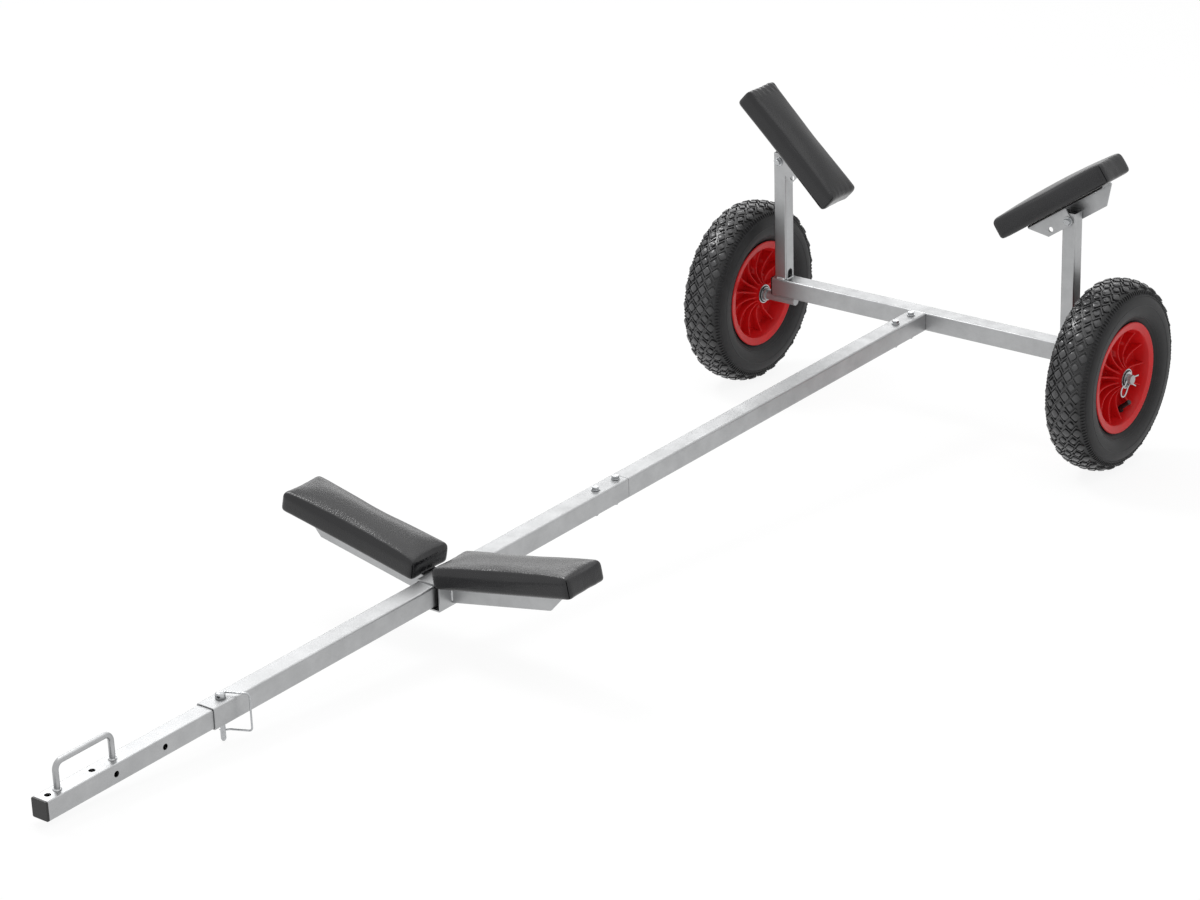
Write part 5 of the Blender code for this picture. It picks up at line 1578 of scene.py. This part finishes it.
def folded_channel(inner, wall, depth, radius):
    """Section of a channel open below, as (y, z) with its web's top at z = 0."""
    outer = inner + wall
    points = [(outer, -depth)]
    for step in range(7):
        angle = math.pi / 2 * step / 6
        points.append((outer - radius + radius * math.cos(angle), -radius + radius * math.sin(angle)))
    points += [(-y, z) for y, z in reversed(points)]
    small = max(radius - wall, 0.5 * MM)
    inside = [(-inner, -depth)]
    for step in range(7):
        angle = math.pi / 2 * step / 6
        y = -(inner - small + small * math.cos(angle))
        inside.append((y, -wall - small + small * math.sin(angle)))
    points += inside + [(-y, z) for y, z in reversed(inside)]
    return points


class OBJECT_OT_trolley_brackets(bpy.types.Operator):
    """Folded brackets of the rear rests, with their boards and screws"""

    bl_idname = "object.trolley_brackets"
    bl_label = "Rear rest brackets and boards"

    def execute(self, context):
        for side, word in WORDS.items():
            place = rest_place(side)
            body = f"rear_rest_{word}"
            top = PIVOT_TO_BOARD - SEAT_GAP
            self.add_bracket(side, word, place, body, top)
            board_place = place @ Matrix.Translation((0, 0, PIVOT_TO_BOARD))
            add_board(f"rest_board_{word}", REAR_PAD, board_place, body, f"board_rear_{word}")
            screws = [(side * along, 0.0) for along in BRACKET_SCREWS]
            add_screws(f"rest_screws_{word}", screws, BRACKET_WALL + 2 * SEAT_GAP, board_place, body)
        return {"FINISHED"}

    def add_bracket(self, side, word, place, body, top):
        section = folded_channel(POST_SIDE / 2 + SEAT_GAP, BRACKET_WALL, BRACKET_DEPTH, 4.2 * MM)
        outline = [(y, top + z) for y, z in section]
        inner_end = -side * BRACKET_INNER_REACH
        outer_end = side * BRACKET_OUTER_REACH
        bm = extruded(outline, inner_end, outer_end, (1, 2, 0))
        node = f"rest_bracket_{word}"
        bracket = add_piece(f"bracket_{word}", bm, "galvanised_steel", place, body, [node], 30.0)
        low = top - BRACKET_DEPTH
        past = 2 * MM
        shoulder = top - BRACKET_SHOULDER
        tools = []
        for reach, inward in ((inner_end, side), (outer_end, -side)):
            wedge = (
                (reach - inward * past, low - past),
                (reach + inward * (BRACKET_CHAMFER + past), low - past),
                (reach + inward * BRACKET_CHAMFER, low),
                (reach, shoulder),
                (reach - inward * past, shoulder),
            )
            tools.append(extruded(wedge, -POST_SIDE, POST_SIDE, (0, 2, 1)))
        below_web = top - BRACKET_TRIM_DEPTH
        trims = [
            (-1, side, BRACKET_FLANGE_OVERLAP, outer_end),
            (1, -side, BRACKET_SHORT_REACH, inner_end),
        ]
        if side < 0:
            trims.append((-1, -side, BRACKET_SHORT_REACH, inner_end))
        for facing, away, kept, reach in trims:
            start = away * kept
            end = reach + away * past
            corner = ((start, low - past), (end, low - past), (end, below_web), (start, below_web))
            tools.append(extruded(corner, facing * POST_SIDE, facing * (POST_SIDE / 2 - SEAT_GAP), (0, 2, 1)))
        tools.append(drill(BOLT_HOLE, POST_SIDE * 2, ALONG_FORWARD))
        free = (-side * BRACKET_FREE_HOLE[0], -POST_SIDE / 2, PIVOT_TO_BOARD - BRACKET_FREE_HOLE[1])
        tools.append(drill(FREE_HOLE, POST_SIDE / 2, Matrix.Translation(free) @ ALONG_FORWARD))
        for along in BRACKET_SCREWS:
            tools.append(drill(SCREW_CLEARANCE, BRACKET_WALL * 4, Matrix.Translation((side * along, 0, top))))
        cut(bracket, tools, 30.0)


class OBJECT_OT_trolley_carriage(bpy.types.Operator):
    """Sliding sleeve on the drawbar with its two arms and boards"""

    bl_idname = "object.trolley_carriage"
    bl_label = "Carriage"

    def execute(self, context):
        tube = square_tube(SLEEVE_SIDE, SLEEVE_WALL, 4 * MM, -SLEEVE_LENGTH / 2, SLEEVE_LENGTH / 2)
        place = sleeve_place() @ ALONG_FORWARD
        add_piece("slide_sleeve", tube, "galvanised_steel", place, "carriage", ["carriage_sleeve"])
        across = ARM_SIDE / 2 - ARM_FRONT
        for side, word in WORDS.items():
            place = front_rest_place(side)
            self.add_arm(side, word, place, across)
            middle = side * (CARRIAGE_STARTS[side] + FRONT_PAD[0] / 2)
            board_place = place @ Matrix.Translation((middle, 0, 0))
            node = f"board_front_{word}"
            board = add_board(f"front_board_{word}", FRONT_PAD, board_place, "carriage", node)
            cut(board, [sleeve_block(board_place, SEAT_GAP)])
            screws = [(side * along - middle, across) for along in ARM_SCREWS]
            add_screws(f"front_screws_{word}", screws, ARM_WALL + 2 * SEAT_GAP, board_place, "carriage")
        return {"FINISHED"}

    def add_arm(self, side, word, place, across):
        """Angle bar under a front cushion, rounded at its heel."""
        top = -SEAT_GAP
        low = top - ARM_SIDE
        front = -ARM_FRONT
        heel, throat = 3.0 * MM, 2.0 * MM
        section = [(front, low), (front + ARM_WALL, low)]
        for step in range(7):
            angle = math.pi / 2 * step / 6
            y = front + ARM_WALL + throat * (1 - math.cos(angle))
            section.append((y, top - ARM_WALL - throat * (1 - math.sin(angle))))
        section += [(front + ARM_SIDE, top - ARM_WALL), (front + ARM_SIDE, top)]
        for step in range(7):
            angle = math.pi / 2 * step / 6
            section.append((front + heel - heel * math.sin(angle), top - heel + heel * math.cos(angle)))
        reach = ARM_REACHES[side]
        bm = extruded(section, 0.0, side * reach, (1, 2, 0))
        node = f"carriage_arm_{word}"
        arm = add_piece(f"arm_{word}", bm, "galvanised_steel", place, "carriage", [node], 30.0)
        past = 2 * MM
        wedge = (
            (side * (reach + past), low - past),
            (side * (reach + past), low + ARM_CHAMFER[1]),
            (side * reach, low + ARM_CHAMFER[1]),
            (side * (reach - ARM_CHAMFER[0]), low),
            (side * (reach - ARM_CHAMFER[0]), low - past),
        )
        tools = [extruded(wedge, -ARM_SIDE * 2, ARM_SIDE * 2, (0, 2, 1)), sleeve_block(place, SEAT_GAP)]
        for along in ARM_SCREWS:
            tools.append(drill(SCREW_CLEARANCE, ARM_WALL * 3, Matrix.Translation((side * along, across, 0))))
        cut(arm, tools, 30.0)
        self.add_arm_welds(side, word)

    def add_arm_welds(self, side, word):
        """Upright beads where an arm's leg meets the sleeve's side."""
        offset = sleeve_offset()
        x = offset + side * (SLEEVE_SIDE / 2 + 0.6 * MM)
        high = CARRIAGE_PLANE + abs(x) * math.tan(CARRIAGE_SLOPE) - 5 * MM
        low = max(high - ARM_SIDE + 8 * MM, -offset - SLEEVE_SIDE / 2 + 4 * MM)
        y = -CARRIAGE_PLACE - ARM_FRONT - 0.4 * MM
        route = [(x, y, low), (x, y, high)]
        weld_bead(f"arm_weld_{word}", route, "carriage", at(0, 0, 0), 1.1, 11 + side)


# Cushions


class CushionForm:
    """A cushion's closed skin of quads over a box, whose rounding differs by side."""

    def __init__(self, size, spacing=5.0 * MM):
        self.size = size
        self.columns = self.lines(size[0], spacing)
        self.rows = self.lines(size[1], spacing)
        self.layers = [-0.5 + step / 8 for step in range(9)]

    def lines(self, length, spacing):
        """Even lines with closer ones at both ends."""
        half = length / 2
        ends = [0.0, 1.6 * MM, 3.4 * MM, 5.8 * MM, 9.0 * MM]
        middle = length - 2 * ends[-1]
        count = round(middle / spacing)
        places = [-half + end for end in ends[:-1]]
        places += [-half + ends[-1] + middle * step / count for step in range(count + 1)]
        places += [half - end for end in reversed(ends[:-1])]
        return [place / length for place in places]

    def rounded(self, point):
        """Moves a point of the plain box onto the cushion's rounded form."""
        half = Vector(self.size) / 2
        u, v = point.x / half.x, point.y / half.y
        low = point.z < 0
        radii = Vector((PAD_EDGE, PAD_EDGE, PAD_FOOT if low else PAD_EDGE))
        inner = half - radii
        core = Vector([max(-limit, min(limit, value)) for value, limit in zip(point, inner)])
        out = point - core
        ratio = Vector([value / radius for value, radius in zip(out, radii)])
        if ratio.length > 1e-9:
            farthest = max(abs(value) for value in ratio)
            out = out * (farthest / ratio.length)
        made = core + out
        made.x -= math.copysign(PAD_WAIST * math.cos(math.pi / 2 * min(1, abs(v))) * abs(u) ** 6, made.x)
        made.y -= math.copysign(PAD_WAIST * math.cos(math.pi / 2 * min(1, abs(u))) * abs(v) ** 6, made.y)
        if not low:
            made.z += PAD_CROWN * (1 - u * u) * (1 - v * v)
        return made

    def build(self):
        """The bmesh, standing on z = 0, with the base and the corner seams as vertex weights."""
        bm = bmesh.new()
        layer = bm.verts.layers.float.new("seam")
        verts = {}
        last = (len(self.columns) - 1, len(self.rows) - 1, len(self.layers) - 1)
        shrink = Vector([1 - less / size for less, size in zip(COVER_SLACK, self.size)])

        def vert(i, j, k):
            if (i, j, k) not in verts:
                point = Vector((self.columns[i], self.rows[j], self.layers[k]))
                plain = Vector([value * side for value, side in zip(point, self.size)])
                place = self.rounded(plain)
                place = Vector([value * factor for value, factor in zip(place, shrink)])
                place.z += self.size[2] / 2 * shrink.z
                made = bm.verts.new(place)
                made[layer] = 1.0 if i in (0, last[0]) and j in (0, last[1]) else 0.0
                verts[i, j, k] = made
            return verts[i, j, k]

        for i in range(last[0]):
            for j in range(last[1]):
                for k in (0, last[2]):
                    bm.faces.new((vert(i, j, k), vert(i + 1, j, k), vert(i + 1, j + 1, k), vert(i, j + 1, k)))
        for i in range(last[0]):
            for k in range(last[2]):
                for j in (0, last[1]):
                    bm.faces.new((vert(i, j, k), vert(i + 1, j, k), vert(i + 1, j, k + 1), vert(i, j, k + 1)))
        for j in range(last[1]):
            for k in range(last[2]):
                for i in (0, last[0]):
                    bm.faces.new((vert(i, j, k), vert(i, j + 1, k), vert(i, j + 1, k + 1), vert(i, j, k + 1)))
        return bm


def fill_cushion(cushion):
    """Lets the cover swell against the foam, its base held, and keeps the result as the mesh."""
    base = cushion.vertex_groups.new(name="base")
    held = [vertex.index for vertex in cushion.data.vertices if vertex.co.z < 1.0 * MM]
    base.add(held, 1.0, "REPLACE")
    before = [vertex.co.copy() for vertex in cushion.data.vertices]
    modifier = cushion.modifiers.new("cover", "CLOTH")
    settings = modifier.settings
    settings.quality = 6
    settings.mass = 0.4
    settings.tension_stiffness = 40
    settings.compression_stiffness = 40
    settings.shear_stiffness = 20
    settings.bending_stiffness = 4
    settings.use_pressure = True
    settings.uniform_pressure_force = sizes().cushion_pressure
    settings.vertex_group_mass = "base"
    settings.effector_weights.gravity = 0
    modifier.collision_settings.use_collision = False
    scene = bpy.context.scene
    for step in range(1, FILL_FRAMES + 1):
        scene.frame_set(step)
    graph = bpy.context.evaluated_depsgraph_get()
    filled = cushion.evaluated_get(graph).to_mesh()
    after = [vertex.co.copy() for vertex in filled.vertices]
    cushion.evaluated_get(graph).to_mesh_clear()
    cushion.modifiers.remove(modifier)
    scene.frame_set(1)
    limit = sizes().cushion_swell
    moves = []
    for start, end in zip(before, after):
        move = end - start
        moves.append(move * (limit / max(limit, move.length)))
    moves = evened(cushion.data, moves, EVENING_PASSES)
    for vertex, start, move in zip(cushion.data.vertices, before, moves):
        vertex.co = start + move
    cushion.data.update()


def evened(mesh, moves, passes):
    """The moves with each averaged over its neighbours, which takes out small wrinkles."""
    near = [[] for _ in mesh.vertices]
    for edge in mesh.edges:
        one, two = edge.vertices
        near[one].append(two)
        near[two].append(one)
    for _ in range(passes):
        moves = [
            (move + sum((moves[other] for other in others), Vector())) / (len(others) + 1)
            for move, others in zip(moves, near)
        ]
    return moves


def crease_cushion(bm, size, seed, gathers):
    """Sinks the corner seams and adds the cover's small pulls and gathers."""
    layer = bm.verts.layers.float["seam"]
    bm.normal_update()
    half_length = size[0] / 2
    moves = []
    for vert in bm.verts:
        co = vert.co
        lift = -SEAM_DEPTH * vert[layer]
        near_end = max(0.0, 1 - (half_length - abs(co.x)) / (30 * MM))
        wander = noise.noise(Vector((co.x * 60 + seed, co.y * 60, co.z * 60)))
        lift += 0.35 * MM * wander * (0.25 + near_end)
        strength = gathers[0] if co.x < 0 else gathers[1]
        if near_end > 0 and strength:
            fold = math.sin(co.y * 420 + 2.5 * noise.noise(Vector((co.x * 40, co.y * 25, seed))) + seed)
            lift += strength * near_end * fold * max(0.0, vert.normal.z)
        moves.append(vert.normal * lift)
    for vert, move in zip(bm.verts, moves):
        vert.co += move


def add_cushion(name, size, matrix, body, node, seed, gathers, notch=False):
    """Vinyl cushion filled by simulation, creased, and hollowed below for its board."""
    cushion = add_piece(name, CushionForm(size).build(), "black_vinyl", matrix, body, [node], 180.0, False)
    fill_cushion(cushion)
    modifier = cushion.modifiers.new("finer", "SUBSURF")
    modifier.levels = modifier.render_levels = 1
    graph = bpy.context.evaluated_depsgraph_get()
    finer = bpy.data.meshes.new_from_object(cushion.evaluated_get(graph))
    cushion.modifiers.clear()
    bm = bmesh.new()
    bm.from_mesh(finer)
    crease_cushion(bm, size, seed, gathers)
    bm.to_mesh(finer)
    bm.free()
    cushion.data = finer
    length = size[0] - 2 * BOARD_MARGINS[0] + 2 * SEAT_GAP
    width = size[1] - 2 * BOARD_MARGINS[1] + 2 * SEAT_GAP
    hollow = rounded_outline(length, width, 6 * MM)
    tools = [stacked(((hollow, -0.02), (hollow, BOARD_THICKNESS + SEAT_GAP)))]
    if notch:
        tools.append(sleeve_block(matrix, SEAT_GAP))
    cut(cushion, tools, 55.0)
    return cushion


class OBJECT_OT_trolley_cushions(bpy.types.Operator):
    """The four vinyl cushions"""

    bl_idname = "object.trolley_cushions"
    bl_label = "Cushions"

    def execute(self, context):
        for side, word in WORDS.items():
            place = rest_place(side) @ Matrix.Translation((0, 0, PIVOT_TO_BOARD))
            gathers = (2.0 * MM, 0.3 * MM) if side < 0 else (0.3 * MM, 0.3 * MM)
            body = f"rear_rest_{word}"
            name, node = f"rest_cushion_{word}", f"pad_rear_{word}"
            add_cushion(name, REAR_PAD, place, body, node, 2.0 + side, gathers)
            middle = side * (CARRIAGE_STARTS[side] + FRONT_PAD[0] / 2)
            place = front_rest_place(side) @ Matrix.Translation((middle, 0, 0))
            name, node = f"front_cushion_{word}", f"pad_front_{word}"
            gathers = (0.15 * MM, 0.15 * MM)
            add_cushion(name, FRONT_PAD, place, "carriage", node, 6.0 + side, gathers, True)
        return {"FINISHED"}


# Studio


class OBJECT_OT_trolley_stage(bpy.types.Operator):
    """Pale floor, soft light and the camera"""

    bl_idname = "object.trolley_stage"
    bl_label = "Studio"

    def execute(self, context):
        self.add_floor()
        self.set_world()
        self.add_lamp("overhead", (0.0, 0.6, 4.2), (0.0, 0.2, 0.0), (5.0, 5.0), studio().lamp)
        self.add_lamp("behind", (-4.8, 5.1, 3.6), (0.0, -0.8, 0.0), (6.0, 1.6), studio().rim_lamp)
        self.add_lamp("key", (-2.9, 0.3, 3.9), (0.0, -0.8, 0.1), (1.2, 1.2), studio().key_lamp)
        self.add_camera()
        bpy.context.scene.view_settings.view_transform = "Standard"
        return {"FINISHED"}

    def seen(self, tree):
        """1 for the rays of the camera, of reflections and of what shows through glass, else 0."""
        path = tree.nodes.new("ShaderNodeLightPath")
        value = path.outputs["Is Camera Ray"]
        for name in ("Is Glossy Ray", "Is Transmission Ray"):
            either = tree.nodes.new("ShaderNodeMath")
            either.operation = "MAXIMUM"
            tree.links.new(value, either.inputs[0])
            tree.links.new(path.outputs[name], either.inputs[1])
            value = either.outputs["Value"]
        return value

    def add_floor(self):
        """A wide disc: white where it is seen, less the trolley's faint shadow, and plain where it lights."""
        bm = bmesh.new()
        bmesh.ops.create_circle(bm, cap_ends=True, segments=96, radius=60.0)
        mesh = bpy.data.meshes.new("floor")
        bm.to_mesh(mesh)
        bm.free()
        floor = bpy.data.objects.new("floor", mesh)
        bpy.context.scene.collection.objects.link(floor)
        finish, shader = blank_finish("studio_floor", studio().floor, 0.9, specular=0.0)
        tree = finish.node_tree
        white = tree.nodes.new("ShaderNodeEmission")
        white.inputs["Strength"].default_value = 1.0 - studio().shadow
        share = tree.nodes.new("ShaderNodeBsdfDiffuse")
        share.inputs["Color"].default_value = [studio().shadow * 1.25] * 3 + [1.0]
        both = tree.nodes.new("ShaderNodeAddShader")
        tree.links.new(white.outputs["Emission"], both.inputs[0])
        tree.links.new(share.outputs["BSDF"], both.inputs[1])
        choice = tree.nodes.new("ShaderNodeMixShader")
        tree.links.new(self.seen(tree), choice.inputs["Fac"])
        tree.links.new(shader.outputs["BSDF"], choice.inputs[1])
        tree.links.new(both.outputs["Shader"], choice.inputs[2])
        tree.links.new(choice.outputs["Shader"], tree.nodes["Material Output"].inputs["Surface"])
        mesh.materials.append(finish)

    def set_world(self):
        """Even light all round, and white where the camera or a shiny surface sees it."""
        world = bpy.data.worlds.new("studio")
        world.use_nodes = True
        bpy.context.scene.world = world
        tree = world.node_tree
        strength = tree.nodes.new("ShaderNodeMapRange")
        strength.inputs["To Min"].default_value = studio().sky
        strength.inputs["To Max"].default_value = 1.0
        tree.links.new(self.seen(tree), strength.inputs["Value"])
        background = tree.nodes["Background"]
        background.inputs["Color"].default_value = (1.0, 1.0, 1.0, 1.0)
        tree.links.new(strength.outputs["Result"], background.inputs["Strength"])

    def add_lamp(self, name, place, target, size, power):
        lamp = bpy.data.lights.new(name, "AREA")
        lamp.shape = "RECTANGLE"
        lamp.size, lamp.size_y = size
        lamp.energy = power
        obj = bpy.data.objects.new(name, lamp)
        bpy.context.scene.collection.objects.link(obj)
        obj.location = place
        obj.rotation_euler = (Vector(target) - Vector(place)).to_track_quat("-Z", "Y").to_euler()

    def add_camera(self):
        ahead = Vector(CAMERA_AHEAD).normalized()
        right = Vector(CAMERA_RIGHT)
        right = (right - ahead * right.dot(ahead)).normalized()
        up = right.cross(ahead)
        turn = Matrix((right, up, -ahead)).transposed().to_4x4()
        data = bpy.data.cameras.new("camera")
        data.lens = studio().lens
        data.clip_end = 200.0
        camera = bpy.data.objects.new("camera", data)
        bpy.context.scene.collection.objects.link(camera)
        camera.matrix_world = STANDING @ Matrix.Translation(CAMERA_PLACE) @ turn
        bpy.context.scene.camera = camera


STEPS = (
    OBJECT_OT_trolley_beam,
    OBJECT_OT_trolley_drawbar,
    OBJECT_OT_trolley_bolts,
    OBJECT_OT_trolley_lock_pin,
    OBJECT_OT_trolley_handle,
    OBJECT_OT_trolley_axles,
    OBJECT_OT_trolley_tyres,
    OBJECT_OT_trolley_rims,
    OBJECT_OT_trolley_brackets,
    OBJECT_OT_trolley_carriage,
    OBJECT_OT_trolley_cushions,
    OBJECT_OT_trolley_stage,
)
GROUPS = (TrolleySizes, TrolleyColours, TrolleyStudio)


class VIEW3D_PT_boat_trolley(bpy.types.Panel):
    """Lists the trolley's pieces, sizes and colours"""

    bl_label = "Boat trolley"
    bl_idname = "VIEW3D_PT_boat_trolley"
    bl_space_type = "VIEW_3D"
    bl_region_type = "UI"
    bl_category = "Boat trolley"

    def draw(self, context):
        for group in (sizes(), colours(), studio()):
            box = self.layout.box()
            for name in group.bl_rna.properties.keys():
                if name not in ("rna_type", "name"):
                    box.prop(group, name)
        for step in STEPS:
            self.layout.operator(step.bl_idname)


def register():
    for item in GROUPS + STEPS + (VIEW3D_PT_boat_trolley,):
        bpy.utils.register_class(item)
    bpy.types.Scene.trolley_sizes = bpy.props.PointerProperty(type=TrolleySizes)
    bpy.types.Scene.trolley_colours = bpy.props.PointerProperty(type=TrolleyColours)
    bpy.types.Scene.trolley_studio = bpy.props.PointerProperty(type=TrolleyStudio)


def unregister():
    del bpy.types.Scene.trolley_sizes
    del bpy.types.Scene.trolley_colours
    del bpy.types.Scene.trolley_studio
    for item in reversed(GROUPS + STEPS + (VIEW3D_PT_boat_trolley,)):
        bpy.utils.unregister_class(item)


def main():
    register()
    for step in STEPS:
        group, name = step.bl_idname.split(".")
        getattr(getattr(bpy.ops, group), name)()


if __name__ == "__main__":
    main()
